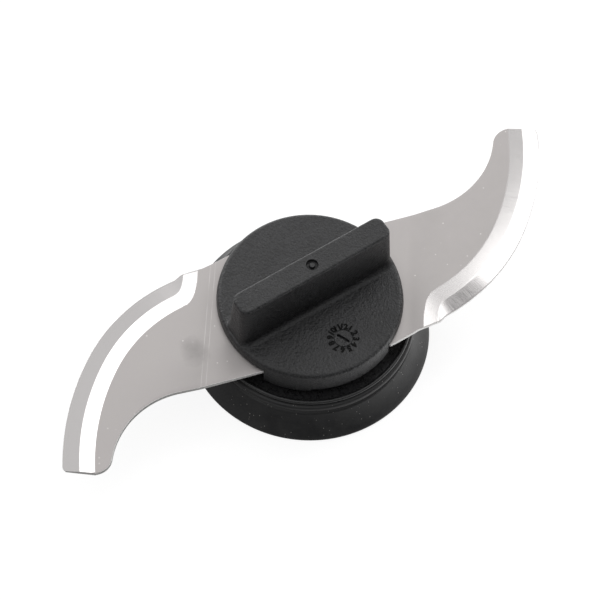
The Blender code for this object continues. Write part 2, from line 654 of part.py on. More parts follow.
def hub_profile():
    fillet_foot = DISH_FLOOR + NECK_FILLET
    barrel_inner = BARREL_RADIUS - BARREL_WALL
    neck_inner = NECK_RADIUS - NECK_WALL
    floor_under = HUB_TOP - HUB_FLOOR
    taper_foot = RIM_UNDERSIDE - TAPER_BELOW
    bush_roof = BUSH_TOP + CLEARANCE
    profile = [(0, SPIGOT_TOP), (SPIGOT_RADIUS - HUB_EDGE, SPIGOT_TOP),
               (SPIGOT_RADIUS, SPIGOT_TOP - HUB_EDGE), (SPIGOT_RADIUS, HUB_TOP),
               (NECK_RADIUS - HUB_EDGE, HUB_TOP), (NECK_RADIUS, HUB_TOP - HUB_EDGE)]
    profile += [(NECK_RADIUS + NECK_FILLET * (1 - math.cos(t)), fillet_foot - NECK_FILLET * math.sin(t))
                for t in np.linspace(0, math.pi / 2, 5)]
    dish_end = RIM_RADIUS - 2.4 * RIM_BEAD
    profile += [((NECK_RADIUS + NECK_FILLET + dish_end) / 2, DISH_FLOOR - DISH_SAG), (dish_end, DISH_FLOOR)]
    bead = (RIM_RADIUS - RIM_BEAD, RIM_TOP - RIM_BEAD)
    profile += [(bead[0] + RIM_BEAD * math.cos(t), bead[1] + RIM_BEAD * math.sin(t))
                for t in np.radians([135, 100, 65, 30, 0])]
    profile += [(RIM_RADIUS - RIM_UNDERCUT, RIM_UNDERSIDE), (BARREL_RADIUS, RIM_UNDERSIDE)]
    snap_height = BARREL_BOTTOM + SNAP_RISE
    profile += [(BARREL_RADIUS, snap_height + SNAP_FADE), (BARREL_RADIUS + SNAP_BEAD, snap_height),
                (BARREL_RADIUS, BARREL_BOTTOM), (barrel_inner, BARREL_BOTTOM), (barrel_inner, taper_foot),
                (neck_inner, taper_foot + TAPER_HEIGHT), (neck_inner, floor_under),
                (BOSS_RADIUS, floor_under), (BOSS_RADIUS, BOSS_BOTTOM),
                (BUSH_RADIUS + CLEARANCE, BOSS_BOTTOM),
                (BUSH_RADIUS + CLEARANCE, bush_roof), (0, bush_roof)]
    return profile


def make_hub(material):
    hub = turned("hub", hub_profile(), parts)
    inner = (BUSH_RADIUS + CLEARANCE + BOSS_RADIUS) / 2
    low_wall = BARREL_RADIUS - BARREL_WALL / 2
    high_wall = NECK_RADIUS - NECK_WALL / 2
    floor = HUB_TOP - HUB_FLOOR / 2
    step = RIM_UNDERSIDE - TAPER_BELOW / 2
    rib = [(inner, RIB_BOTTOM), (low_wall, RIB_BOTTOM), (low_wall, step), (high_wall, step),
           (high_wall, floor), (inner, floor)]
    for number in range(RIB_COUNT):
        item = prism(f"rib_{number + 1}", rib, -RIB_THICKNESS / 2, RIB_THICKNESS / 2, cutters)
        item.rotation_euler = (math.pi / 2, 0, GRIP_ANGLE + math.pi / RIB_COUNT * (2 * number + 1))
        combine(hub, item, 'UNION')
    for number, place in enumerate(screw_places(), 1):
        combine(hub, cylinder(f"screw_boss_{number}", SCREW_BOSS_RADIUS, SCREW_BOSS_BOTTOM, floor, cutters,
                              at=place, sides=32), 'UNION')
        combine(hub, cylinder(f"hub_screw_hole_{number}", SCREW_RADIUS + CLEARANCE,
                              SCREW_BOSS_BOTTOM - OVERCUT, HUB_TOP + OVERCUT, cutters, at=place))
    finish(hub, material)


def make_drive_bush(material):
    low, high = BUSH_BOTTOM, BUSH_TOP
    c = BUSH_CHAMFER
    profile = [(0, high), (BUSH_RADIUS - c, high), (BUSH_RADIUS, high - c), (BUSH_RADIUS, low + c),
               (BUSH_RADIUS - c, low), (0, low)]
    bush = turned("drive_bush", profile, parts, steps=36)
    corner_radius = DRIVE_ACROSS_FLATS / 2 / math.cos(math.pi / 6)
    combine(bush, cylinder("drive_hexagon", corner_radius, low - OVERCUT, high + OVERCUT, cutters, sides=6))
    finish(bush, material)


def make_screws(material):
    head_low = SCREW_HEAD_TOP - SCREW_HEAD_HEIGHT
    round_height = SCREW_HEAD_HEIGHT / 2
    profile = [(0, SCREW_END), (SCREW_TIP, SCREW_END), (SCREW_RADIUS, SCREW_END - SCREW_POINT),
               (SCREW_RADIUS, SCREW_HEAD_TOP), (SCREW_HEAD_RADIUS, SCREW_HEAD_TOP)]
    profile += [(SCREW_HEAD_RADIUS * (0.6 + 0.4 * math.cos(t)), head_low + round_height * (1 - math.sin(t)))
                for t in np.linspace(0, math.pi / 2, 4)]
    profile += [(0, head_low)]
    for number, place in enumerate(screw_places(), 1):
        screw = turned(f"screw_{number}", profile, parts, steps=SMALL_STEPS)
        screw.location = (*place, 0.0)
        for blade_number, angle in enumerate((GRIP_ANGLE, GRIP_ANGLE + math.pi / 2), 1):
            combine(screw, box(f"screw_{number}_recess_{blade_number}",
                               (RECESS_SPAN, RECESS_WIDTH, 2 * RECESS_DEPTH), (*place, head_low), cutters,
                               angle=angle))
        finish(screw, material)


def make_washers(material):
    high = SCREW_BOSS_BOTTOM - CLEARANCE
    low = high - WASHER_THICKNESS
    inner = SCREW_RADIUS + CLEARANCE
    profile = [(inner, high), (WASHER_RADIUS, high), (WASHER_RADIUS, low), (inner, low)]
    for number, place in enumerate(screw_places(), 1):
        washer = turned(f"washer_{number}", profile, parts, closed=True, steps=SMALL_STEPS)
        washer.location = (*place, 0.0)
        finish(washer, material)


# The lip seal and its retaining ring.

def make_lip_seal(material):
    """A collar with a rounded bead, an undercut, and a bell that widens to a thin rim."""
    inner = BARREL_RADIUS + CLEARANCE
    bead = COLLAR_LIP / 2
    bead_centre = (COLLAR_RADIUS - bead * 0.7, COLLAR_TOP - LIP_INSET - bead)
    groove_low = bead_centre[1] - bead - GROOVE_HEIGHT
    profile = [(inner, COLLAR_TOP), (bead_centre[0] - bead * 0.6, COLLAR_TOP)]
    profile += [(bead_centre[0] + bead * 0.7 * math.cos(t), bead_centre[1] + bead * math.sin(t))
                for t in np.radians([70, 45, 20, -5, -35, -65])]
    profile += [(GROOVE_RADIUS + GROOVE_ROUND, groove_low + GROOVE_HEIGHT),
                (GROOVE_RADIUS, groove_low + GROOVE_HEIGHT / 2), (GROOVE_RADIUS + GROOVE_ROUND, groove_low),
                (BELL_SHOULDER - SHOULDER_DROP, groove_low - SHOULDER_DROP / 10)]
    slope_top = (BELL_SHOULDER, groove_low - SHOULDER_DROP)
    slope_foot = (BELL_RADIUS - RIM_ROUND / 2, RIM_FOOT)
    profile.append(slope_top)
    for share in (0.25, 0.5, 0.75):
        sag = SLOPE_SAG * math.sin(share * math.pi)
        profile.append((slope_top[0] + (slope_foot[0] - slope_top[0]) * share - sag,
                        slope_top[1] + (slope_foot[1] - slope_top[1]) * share))
    rim_low = BELL_RADIUS - RIM_ROUND / 2
    profile += [slope_foot, (BELL_RADIUS, RIM_ROUND), (rim_low, 0)]
    land_inner = rim_low - RIM_LAND
    shoulder_inner = BELL_SHOULDER - BELL_WALL
    profile += [(land_inner, 0), (land_inner - RIM_ROUND, RIM_FOOT / 2),
                (shoulder_inner, COLLAR_BOTTOM - SHOULDER_DROP),
                (shoulder_inner - SHOULDER_DROP, COLLAR_BOTTOM), (inner, COLLAR_BOTTOM)]
    seal = turned("lip_seal", profile, parts, closed=True)
    finish(seal, material)


def make_retaining_ring(material):
    high = COLLAR_BOTTOM - CLEARANCE
    low = high - RING_THICKNESS
    inner = BARREL_RADIUS + CLEARANCE
    c = RING_CHAMFER
    profile = [(inner, high), (RING_RADIUS - c, high), (RING_RADIUS, high - c), (RING_RADIUS, low + c),
               (RING_RADIUS - c, low), (inner, low)]
    ring = turned("retaining_ring", profile, parts, closed=True)
    finish(ring, material)


def main():
    steel = make_material("blade_steel", (0.72, 0.71, 0.70), 0.22, 1.0)
    black = make_material("cap_plastic", (0.045, 0.045, 0.048), 0.55)
    hub_black = make_material("hub_plastic", (0.035, 0.035, 0.038), 0.5)
    rubber = make_material("seal_rubber", (0.03, 0.03, 0.032), 0.8)
    ring_black = make_material("ring_plastic", (0.04, 0.04, 0.042), 0.5)
    bush_steel = make_material("bush_steel", (0.62, 0.61, 0.6), 0.35, 1.0)
    screw_steel = make_material("screw_steel", (0.66, 0.66, 0.66), 0.3, 1.0)
    make_cap(black)
    make_blade(steel)
    make_hub(hub_black)
    make_drive_bush(bush_steel)
    make_lip_seal(rubber)
    make_retaining_ring(ring_black)
    make_screws(screw_steel)
    make_washers(screw_steel)


clear_scene()
parts = make_collection("food_processor_blade")
cutters = make_collection("cutters")
main()
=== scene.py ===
"""Food processor blade, dressed: steel wings, grip cap, hub and lip seal, on a pale studio floor.

Metres, +Z up. The axis that the unit turns about is the Z axis, and its seal stands on z = 0. The left
wing reaches towards -X, and the right one is the same after half a turn.
"""
import math

import bpy
import mathutils
import numpy as np
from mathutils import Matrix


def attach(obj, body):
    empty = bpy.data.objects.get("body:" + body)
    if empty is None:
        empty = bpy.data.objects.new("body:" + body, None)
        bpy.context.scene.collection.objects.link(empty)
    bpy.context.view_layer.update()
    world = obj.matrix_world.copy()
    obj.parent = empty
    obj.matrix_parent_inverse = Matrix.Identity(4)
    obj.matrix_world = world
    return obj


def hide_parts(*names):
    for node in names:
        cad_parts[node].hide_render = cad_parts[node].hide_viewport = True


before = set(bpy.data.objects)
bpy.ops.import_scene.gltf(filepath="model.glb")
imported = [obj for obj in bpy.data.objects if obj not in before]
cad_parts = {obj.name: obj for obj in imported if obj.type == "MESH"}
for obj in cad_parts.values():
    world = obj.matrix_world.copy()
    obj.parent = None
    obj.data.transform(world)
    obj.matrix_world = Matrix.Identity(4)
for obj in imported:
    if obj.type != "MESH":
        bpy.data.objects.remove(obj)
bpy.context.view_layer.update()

MM = 0.001
TURN = 2 * math.pi
CLEARANCE = 0.3

# Sizes in millimetres and angles in radians; a slope is its rise over its run. They follow the solids,
# apart from the facets, which are flatter and 0.1 mm wider here, and from small round edges.
PLATE_BOTTOM, PLATE_TOP = 17.1, 18.4
TIP_DROP = 56.1
CUTTING_CENTRE, CUTTING_RADIUS = np.array([-10.1, -39.6]), 50.45
CUTTING_START, CUTTING_TURN = math.radians(122.3), math.radians(160.5)
TIP_RADIUS = 72.6
SHOULDER_CORNER, SHOULDER_ROOT = np.array([1.5, 1.75]), np.array([7.2, 4.3])
EAR_ANGLE, EAR_RADIUS = math.radians(150.3), 25.45
BACK_RADIUS, BACK_SLOPE, BACK_OFFSET, BACK_X = 24.1, math.radians(20.0), 17.22, -24.8
TIP_OUTER_ROUND, TIP_INNER_ROUND = 1.6, 5.0
BEND_AT, BEND_HALF_WIDTH, WING_SLOPE = 27.0, 1.2, math.tan(math.radians(7.4))
OUTER_FACET, BOTH_FACETS = 4.3, 8.3
OUTER_SLOPE, INNER_SLOPE = math.tan(math.radians(8.2)), math.tan(math.radians(2.5))
EDGE_ROUND = 0.13

# How the facets end, more gradually than in the solids: where along the edge, over what length, and with
# what power.
OUTER_END, BOTH_END, END_POWER = (-2.6, 5.8), (-7.0, 9.2), 2.5

# Columns of the wings' skin: a round corner, one facet, the flat behind the facets and the underside.
ROUND_COLUMNS, FACET_COLUMNS, BACK_COLUMNS, UNDER_COLUMNS = 4, 16, 18, 12
TOP_COLUMNS = 2 * ROUND_COLUMNS + 2 * FACET_COLUMNS + BACK_COLUMNS
ROLLED, GROUND, SHEARED = 0, 1, 2

CAP_TOP, CAP_RADIUS, CAP_DRAFT, CAP_EDGE = 21.6, 25.35, 0.25, 1.2
SKIRT_BOTTOM, SKIRT_STEP, SKIRT_INNER, CEILING = 14.5, 0.9, 22.6, 18.7
SKIRT_STEP_ANGLE = math.radians(273.7)
POCKET_RADIUS, POCKET_DEPTH = 6.3, 1.2
GRIP_ANGLE, GRIP_TOP = math.radians(35.7), 37.7
GRIP_HALF_WIDTH, GRIP_HALF_LENGTH = 3.45, 23.4
GRIP_DRAFT_SIDE, GRIP_DRAFT_END, GRIP_CORNER, GRIP_EDGE = 0.75, 0.7, 2.4, 0.7
GRIP_FILLET_SIDE, GRIP_FILLET_END = 1.6, 0.3
GATE_RADIUS, GATE_NUB, GATE_DEPTH = 1.65, 0.7, 1.0
DATE_CENTRE, DATE_RADIUS, DATE_GROOVE, DATE_DEPTH = np.array([9.4, -12.9]), 2.4, 0.22, 0.25
ARROW_LENGTH, ARROW_WIDTH, ARROW_DEPTH, ARROW_ANGLE = 3.9, 0.85, 0.9, math.radians(-30)
NUMERAL_CIRCLE, NUMERAL_SIZE, NUMERAL_SWELL, NUMERAL_HALF, NUMERAL_LIFT = 3.4, 2.2, 0.12, 0.06, 0.03

NECK_RADIUS, HUB_TOP, DISH_FLOOR = 22.3, 16.8, 11.9
BARREL_RADIUS, BARREL_WALL, BARREL_BOTTOM = 24.3, 2.3, 3.0
RIM_RADIUS, RIM_BEAD, RIM_UNDERSIDE = 28.4, 0.55, 11.05
SCREW_CIRCLE, SCREW_BORE, SCREW_BOSS_BOTTOM = 15.8, 2.3, 9.0
COLLAR_TOP, COLLAR_BOTTOM = 10.75, 6.35


# Shapes: each is a pair, its points in millimetres and its faces, ready to be joined into a piece.

def direction(angle):
    """The unit vector (cos a, sin a), for one angle or for each of many."""
    return np.stack([np.cos(angle), np.sin(angle)], axis=-1)


def arc(centre, radius, start, end, count):
    """Points of a circle between two angles: centre + radius (cos a, sin a)."""
    return centre + radius * direction(np.linspace(start, end, count))


def quarter(steps):
    """The shares 1 - sin t and 1 - cos t over a quarter turn, for round edges."""
    t = np.linspace(0, math.pi / 2, steps)
    return 1 - np.sin(t), 1 - np.cos(t)


def placed(x, y, z, turn=GRIP_ANGLE, centre=(0.0, 0.0)):
    """A flat loop, turned about Z, moved and set at a height."""
    c, s = math.cos(turn), math.sin(turn)
    x, y = x * c - y * s + centre[0], x * s + y * c + centre[1]
    return np.stack([x, y, np.broadcast_to(z, x.shape)], axis=-1)


def around(angles, radius, height, turn=0.0, centre=(0.0, 0.0)):
    """A loop round a centre, whose radius and height are one value or follow the angle."""
    return placed(radius * np.cos(angles), radius * np.sin(angles), height, turn, centre)


def skin(loops, ends=True, ring=False):
    """Quads between neighbouring loops of equal length. Loops that run anticlockwise seen from above,
    from the top of a shape over its side to its bottom, face outwards. With ends, the first and last loop
    are closed by a fan to their middle; with ring, the last loop joins the first."""
    loops = np.asarray(loops, dtype=float)
    rows, count, _ = loops.shape
    index = np.arange(rows * count).reshape(rows, count)
    if ring:
        index = np.vstack([index, index[:1]])
    near, far = index[:-1], index[1:]
    quads = np.stack([near, far, np.roll(far, -1, 1), np.roll(near, -1, 1)], axis=-1).reshape(-1, 4)
    points = loops.reshape(-1, 3)
    faces = quads.tolist()
    if ends:
        poles = np.array([loops[0].mean(0), loops[-1].mean(0)])
        first, last = index[0], index[-1]
        top = np.stack([np.full(count, len(points)), first, np.roll(first, -1)], axis=-1)
        bottom = np.stack([np.full(count, len(points) + 1), np.roll(last, -1), last], axis=-1)
        points = np.vstack([points, poles])
        faces += top.tolist() + bottom.tolist()
    return points, faces


def turned(profile, count=192, ends=True, ring=False, centre=(0.0, 0.0)):
    """A profile of (radius, height) carried round Z: (cx + r cos a, cy + r sin a, z)."""
    profile = np.asarray(profile, dtype=float)
    angles = np.arange(count) * TURN / count
    x = centre[0] + profile[:, :1] * np.cos(angles)
    y = centre[1] + profile[:, :1] * np.sin(angles)
    z = np.broadcast_to(profile[:, 1:2], x.shape)
    return skin(np.stack([x, y, z], axis=-1), ends, ring)


def softened(points, cut, steps=6, closed=False):
    """A polyline with each corner C replaced by the parabola (1-t)^2 A + 2t(1-t) C + t^2 B, where A and B
    lie on the two sides at the distance cut from C, or less where a side is short. One more point on each
    side keeps the flats flat."""
    most_of_side, further = 0.42, 0.15
    points = np.asarray(points, dtype=float)
    corners = points if closed else points[1:-1]
    before = np.roll(points, 1, 0) if closed else points[:-2]
    after = np.roll(points, -1, 0) if closed else points[2:]
    cut = np.broadcast_to(np.asarray(cut, dtype=float), len(corners))[:, None]
    back, ahead = before - corners, after - corners
    room_back = np.linalg.norm(back, axis=1, keepdims=True)
    room_ahead = np.linalg.norm(ahead, axis=1, keepdims=True)
    cut = np.minimum(cut, most_of_side * np.minimum(room_back, room_ahead))
    back, ahead = back / room_back, ahead / room_ahead
    start, end = corners + back * cut, corners + ahead * cut
    t = np.linspace(0, 1, steps)[None, :, None]
    curve = (1 - t) ** 2 * start[:, None] + 2 * t * (1 - t) * corners[:, None] + t ** 2 * end[:, None]
    first, last = start + back * cut * further, end + ahead * cut * further
    curve = np.concatenate([first[:, None], curve, last[:, None]], axis=1).reshape(-1, 2)
    return curve if closed else np.vstack([points[:1], curve, points[-1:]])


def joined(*shapes):
    """Several shapes as one."""
    points, faces, base = [], [], 0
    for shape_points, shape_faces in shapes:
        points.append(shape_points)
        faces += [[i + base for i in face] for face in shape_faces]
        base += len(shape_points)
    return np.vstack(points), faces


def put(name, data):
    """A new object in the scene."""
    made = bpy.data.objects.new(name, data)
    bpy.context.scene.collection.objects.link(made)
    return made


def piece(name, shape, materials, part=None, crease=30.0, slots=None, run=None):
    """Makes the mesh object of a shape, shaded smooth up to edges steeper than crease, in degrees. part is
    the solid that it stands for, slots the material of each face, run a place that each point carries."""
    points, faces = shape
    mesh = bpy.data.meshes.new(name)
    mesh.from_pydata((points * MM).tolist(), [], faces)
    for material in materials:
        mesh.materials.append(material)
    if slots is not None:
        mesh.polygons.foreach_set("material_index", np.asarray(slots, dtype=np.int32))
    if run is not None:
        layer = mesh.attributes.new("run", 'FLOAT_VECTOR', 'POINT')
        layer.data.foreach_set("vector", np.asarray(run, dtype=np.float32).ravel())
    mesh.shade_smooth()
    mesh.set_sharp_from_angle(angle=math.radians(crease))
    made = put(name, mesh)
    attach(made, "root")
    if part:
        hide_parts(part)
    return made


# The blade.

def fillet(before, corner, after, radius, count=12):
    """The arc of the given radius that is tangent to both sides of a corner."""
    before, corner, after = (np.asarray(p, dtype=float) for p in (before, corner, after))
    back = (before - corner) / np.linalg.norm(before - corner)
    ahead = (after - corner) / np.linalg.norm(after - corner)
    half = math.acos(float(np.clip(back @ ahead, -1, 1))) / 2
    middle = (back + ahead) / np.linalg.norm(back + ahead)
    centre = corner + middle * radius / math.sin(half)
    start, end = corner + back * radius / math.tan(half), corner + ahead * radius / math.tan(half)
    first = math.atan2(*(start - centre)[::-1])
    sweep = (math.atan2(*(end - centre)[::-1]) - first + math.pi) % TURN - math.pi
    return arc(centre, radius, first, first + sweep, count)


TIP_CENTRE = CUTTING_CENTRE + (CUTTING_RADIUS - TIP_RADIUS) * direction(CUTTING_TURN)
EDGE_START = CUTTING_CENTRE + CUTTING_RADIUS * direction(CUTTING_START)
CORNER, ROOT = EDGE_START + SHOULDER_CORNER, EDGE_START + SHOULDER_ROOT
BACK_Y = (BACK_X * math.sin(BACK_SLOPE) - BACK_RADIUS - BACK_OFFSET) / math.cos(BACK_SLOPE)
BACK_CENTRE = np.array([BACK_X, BACK_Y])


def front_outline():
    """Left wing's convex side: the hub's circle, the ear at the cap, the shoulder, two tangent arcs of the
    cutting edge and the tip's outer corner."""
    ear = EAR_RADIUS * direction(EAR_ANGLE)
    last = math.pi + math.asin((TIP_DROP - TIP_OUTER_ROUND + TIP_CENTRE[1]) / TIP_RADIUS)
    edge = arc(TIP_CENTRE, TIP_RADIUS, CUTTING_TURN, last, 120)
    foot = np.array([edge[-1][0], -TIP_DROP])
    return np.vstack([
        arc((0, 0), NECK_RADIUS, math.pi / 2, EAR_ANGLE, 40), ear[None],
        fillet(ear, ROOT, CORNER, 3.0), fillet(ROOT, CORNER, EDGE_START, 1.2),
        arc(CUTTING_CENTRE, CUTTING_RADIUS, CUTTING_START, CUTTING_TURN, 120), edge[1:],
        fillet(edge[-1], foot, (0, foot[1]), TIP_OUTER_ROUND)[1:]])


def back_outline():
    """Left wing's concave side: the hub's circle, a straight part, an arc and the tip's inner corner."""
    along = direction(BACK_SLOPE)
    tangent = BACK_CENTRE + BACK_RADIUS * direction(BACK_SLOPE + math.pi / 2)
    reach = float(tangent @ along)
    enters = tangent - along * (reach + math.sqrt(reach ** 2 - tangent @ tangent + NECK_RADIUS ** 2))
    last = math.pi - math.asin(-(BACK_CENTRE[1] + TIP_DROP - TIP_INNER_ROUND) / BACK_RADIUS)
    edge = arc(BACK_CENTRE, BACK_RADIUS, math.pi / 2 + BACK_SLOPE, last, 200)
    foot = np.array([edge[-1][0], -TIP_DROP])
    return np.vstack([
        arc((0, 0), NECK_RADIUS, -math.pi / 2, math.atan2(enters[1], enters[0]), 20), edge,
        fillet(edge[-1], foot, (foot[0] - 20, foot[1]), TIP_INNER_ROUND, 24)[1:]])


def met(origins, ways, outline):
    """Where each line from an origin first meets an outline: all lines against all pieces of the outline
    at once, from the two cross products of the lines' equations."""
    near, span = outline[:-1], np.diff(outline, axis=0)
    turn = ways[:, None, 0] * span[None, :, 1] - ways[:, None, 1] * span[None, :, 0]
    offset = near[None] - origins[:, None]
    turn = np.where(np.abs(turn) < 1e-9, np.nan, turn)
    reach = (offset[..., 0] * span[None, :, 1] - offset[..., 1] * span[None, :, 0]) / turn
    share = (offset[..., 0] * ways[:, None, 1] - offset[..., 1] * ways[:, None, 0]) / turn
    good = (share >= -1e-6) & (share <= 1 + 1e-6) & (reach > 0)
    reach = np.where(good, reach, np.inf)
    return origins + ways * reach.min(axis=1)[:, None]


def bend(x):
    """Height of the wing over the hub's plane: level, then a parabola, then a straight slope."""
    past = np.abs(x) - BEND_AT
    curve = WING_SLOPE * (past + BEND_HALF_WIDTH) ** 2 / (4 * BEND_HALF_WIDTH)
    risen = np.where(past >= BEND_HALF_WIDTH, WING_SLOPE * past, curve)
    return np.where(past <= -BEND_HALF_WIDTH, 0.0, risen)


def edge_place(flat):
    """Where points of the plan lie to the cutting edge, whose two tangent arcs are carried on past its
    ends: the depth inside the arc, radius - |p - centre|, and the length along it from the shoulder."""
    near, far = flat - CUTTING_CENTRE, flat - TIP_CENTRE
    near_angle, far_angle = (np.arctan2(way[..., 1], way[..., 0]) % TURN for way in (near, far))
    near_depth = CUTTING_RADIUS - np.linalg.norm(near, axis=-1)
    far_depth = TIP_RADIUS - np.linalg.norm(far, axis=-1)
    near_along = CUTTING_RADIUS * (near_angle - CUTTING_START)
    far_along = CUTTING_RADIUS * (CUTTING_TURN - CUTTING_START) + TIP_RADIUS * (far_angle - CUTTING_TURN)
    first = near_angle < CUTTING_TURN
    return np.where(first, near_depth, far_depth), np.where(first, near_along, far_along)


def inside_facet(depth, along, width, end):
    """How far points lie inside a ground facet: width (1 - s^2.5) - d, where d is the depth from the edge
    and s grows from 0 to 1 over the facet's end, as the wheel lifts off. The end starts at end[0] along
    the edge and is end[1] long."""
    share = np.clip((end[0] + end[1] - along) / end[1], 0, None)
    return width * (1 - share ** END_POWER) - depth


def ground_off(flat):
    """What grinding takes off the top of the plate: for each facet its slope times how far inside it is."""
    depth, along = edge_place(flat)
    outer = np.clip(inside_facet(depth, along, OUTER_FACET, OUTER_END), 0, None)
    both = np.clip(inside_facet(depth, along, BOTH_FACETS, BOTH_END), 0, None)
    return INNER_SLOPE * both + (OUTER_SLOPE - INNER_SLOPE) * outer


def wing_lines():
    """Lines across the left wing: upright ones from the axis out, a fan over the back edge, level ones at
    the tip. Returns origins, ways to the front edge and ways to the back edge."""
    past_shoulder, over_back, closer_from, finer_to = 7.0, 7.2, -24.0, 108
    pivot = np.array([EDGE_START[0] + past_shoulder, BACK_CENTRE[1] + over_back])
    upright = np.concatenate([np.linspace(0, closer_from, 30, endpoint=False),
                              np.linspace(closer_from, pivot[0], 56, endpoint=False)])
    fan = np.concatenate([np.linspace(90, finer_to, 110, endpoint=False), np.linspace(finer_to, 180, 150)])
    top, low = TIP_INNER_ROUND - TIP_DROP, TIP_INNER_ROUND - EDGE_ROUND
    swing = np.linspace(0, math.pi / 2, 26)[1:]
    rows = np.concatenate([np.linspace(pivot[1], top, 12)[1:], top - low * np.sin(swing)])
    origins = np.vstack([np.stack([upright, 0 * upright], -1), np.tile(pivot, (len(fan), 1)),
                         np.stack([np.full(len(rows), pivot[0]), rows], -1)])
    to_front = np.vstack([np.tile([0.0, 1.0], (len(upright), 1)), direction(np.radians(fan)),
                          np.tile([-1.0, 0.0], (len(rows), 1))])
    to_back = to_front.copy()
    to_back[:len(upright)] = (0.0, -1.0)
    return origins, to_front, to_back


def wing_loops():
    """Loops round the left wing, one for each line across it. On a loop the height of the top is
    plate + bend(x) - ground_off(x, y); both edges of the plate have small round corners. Returns the loops,
    the marks that the ground finish follows, and how far inside the facets each point is."""
    origins, to_front, to_back = wing_lines()
    a, b = met(origins, to_front, front_outline()), met(origins, to_back, back_outline())
    length = np.linalg.norm(b - a, axis=1)
    across = (b - a) / length[:, None]

    tries = 400
    depth, _ = edge_place(a[:, None] + (b - a)[:, None] * np.linspace(0, 1, tries)[None, :, None])
    row = np.arange(len(a))

    def reached(limit):
        """The length along each line at which it is so deep inside the cutting edge."""
        last = np.clip((depth < limit).cumprod(axis=1).sum(axis=1) - 1, 0, tries - 2)
        low, high = depth[row, last], depth[row, last + 1]
        return (last + (limit - low) / (high - low)) * length / (tries - 1)

    def spaced(low, high, count):
        return low[:, None] + (high - low)[:, None] * np.linspace(0, 1, count)

    seam, least_facet, least_flat = 0.06, 0.5, 1.0
    start, end = np.full(len(a), EDGE_ROUND), length - EDGE_ROUND
    one = np.maximum(reached(OUTER_FACET), start + least_facet)
    two = np.minimum(np.maximum(reached(BOTH_FACETS), one + least_facet), end - least_flat)
    places = np.hstack([spaced(start, one - seam, FACET_COLUMNS),
                        spaced(one + seam, two - seam, FACET_COLUMNS), spaced(two + seam, end, BACK_COLUMNS)])

    in_share, down_share = (share[1:] for share in quarter(ROUND_COLUMNS + 1))
    inset, fall = (EDGE_ROUND * share + 0 * length[:, None] for share in (in_share, down_share))
    s = np.hstack([inset[:, ::-1], places, length[:, None] - inset,
                   length[:, None] - inset[:, ::-1], spaced(end, start, UNDER_COLUMNS), inset])
    rounding = np.hstack([-fall[:, ::-1], 0 * places, -fall, fall[:, ::-1], 0 * s[:, :UNDER_COLUMNS], fall])
    flat = a[:, None] + across[:, None] * s[..., None]
    height = rounding + bend(flat[..., 0])
    height[:, :TOP_COLUMNS] += PLATE_TOP - ground_off(flat[:, :TOP_COLUMNS])
    height[:, TOP_COLUMNS:] += PLATE_BOTTOM
    loops = np.concatenate([flat, height[..., None]], axis=-1)

    tip = np.repeat(loops[-1:], ROUND_COLUMNS, axis=0)
    inwards = np.where(np.arange(s.shape[1]) < TOP_COLUMNS, -1.0, 1.0)
    tip[..., 1] -= EDGE_ROUND * (1 - in_share[:, None])
    tip[..., 2] += inwards * EDGE_ROUND * down_share[:, None]
    loops = np.concatenate([loops, tip])

    depth, along = edge_place(loops[..., :2])
    marks = np.stack([along, depth, 0 * depth], axis=-1)
    return loops, marks, inside_facet(depth, along, BOTH_FACETS, BOTH_END)


def blade():
    """Both wings as one skin from tip to tip: the right wing's loops are the left one's turned by half a
    turn and read the other way round. The loops run clockwise, so each face is turned over. Returns the
    shape, the finish of each face and the marks."""
    left, marks, inside = wing_loops()
    count = left.shape[1]
    other = np.concatenate([np.arange(TOP_COLUMNS)[::-1], np.arange(TOP_COLUMNS, count)[::-1]])
    right = (left[1:] * np.array([-1.0, -1.0, 1.0]))[:, other]
    loops = np.concatenate([left[::-1], right])
    marks = np.concatenate([marks[::-1], marks[1:][:, other]])

    column = np.arange(count)
    middle = inside + np.roll(inside, -1, axis=1)
    middle = middle[:-1] + middle[1:]
    top = (column >= ROUND_COLUMNS - 1) & (column < TOP_COLUMNS - ROUND_COLUMNS - 1)
    bottom = (column >= TOP_COLUMNS + ROUND_COLUMNS) & (column < count - ROUND_COLUMNS - 1)
    facets = top & (column < ROUND_COLUMNS + 2 * FACET_COLUMNS) & (middle > 0)
    finishes = np.where(facets, GROUND, np.where(top | bottom, ROLLED, SHEARED))
    rows = np.vstack([finishes[::-1], np.roll(finishes[:, other], -1, axis=1)])
    slots = np.concatenate([rows.ravel(), np.full(2 * count, SHEARED)])
    points, faces = skin(loops)
    marks = np.vstack([marks.reshape(-1, 3), np.zeros((2, 3))])
    return (points, [face[::-1] for face in faces]), slots, marks


# The grip cap.

def outline(half_length, half_width, corner, steps=16):
    """A rounded rectangle: four quarter circles, read at the middle of each of their steps, so that no two
    points meet."""
    angles = (np.arange(4 * steps) + 0.5) * math.pi / (2 * steps)
    x = np.sign(np.cos(angles)) * (half_length - corner) + corner * np.cos(angles)
    y = np.sign(np.sin(angles)) * (half_width - corner) + corner * np.sin(angles)
    return x, y


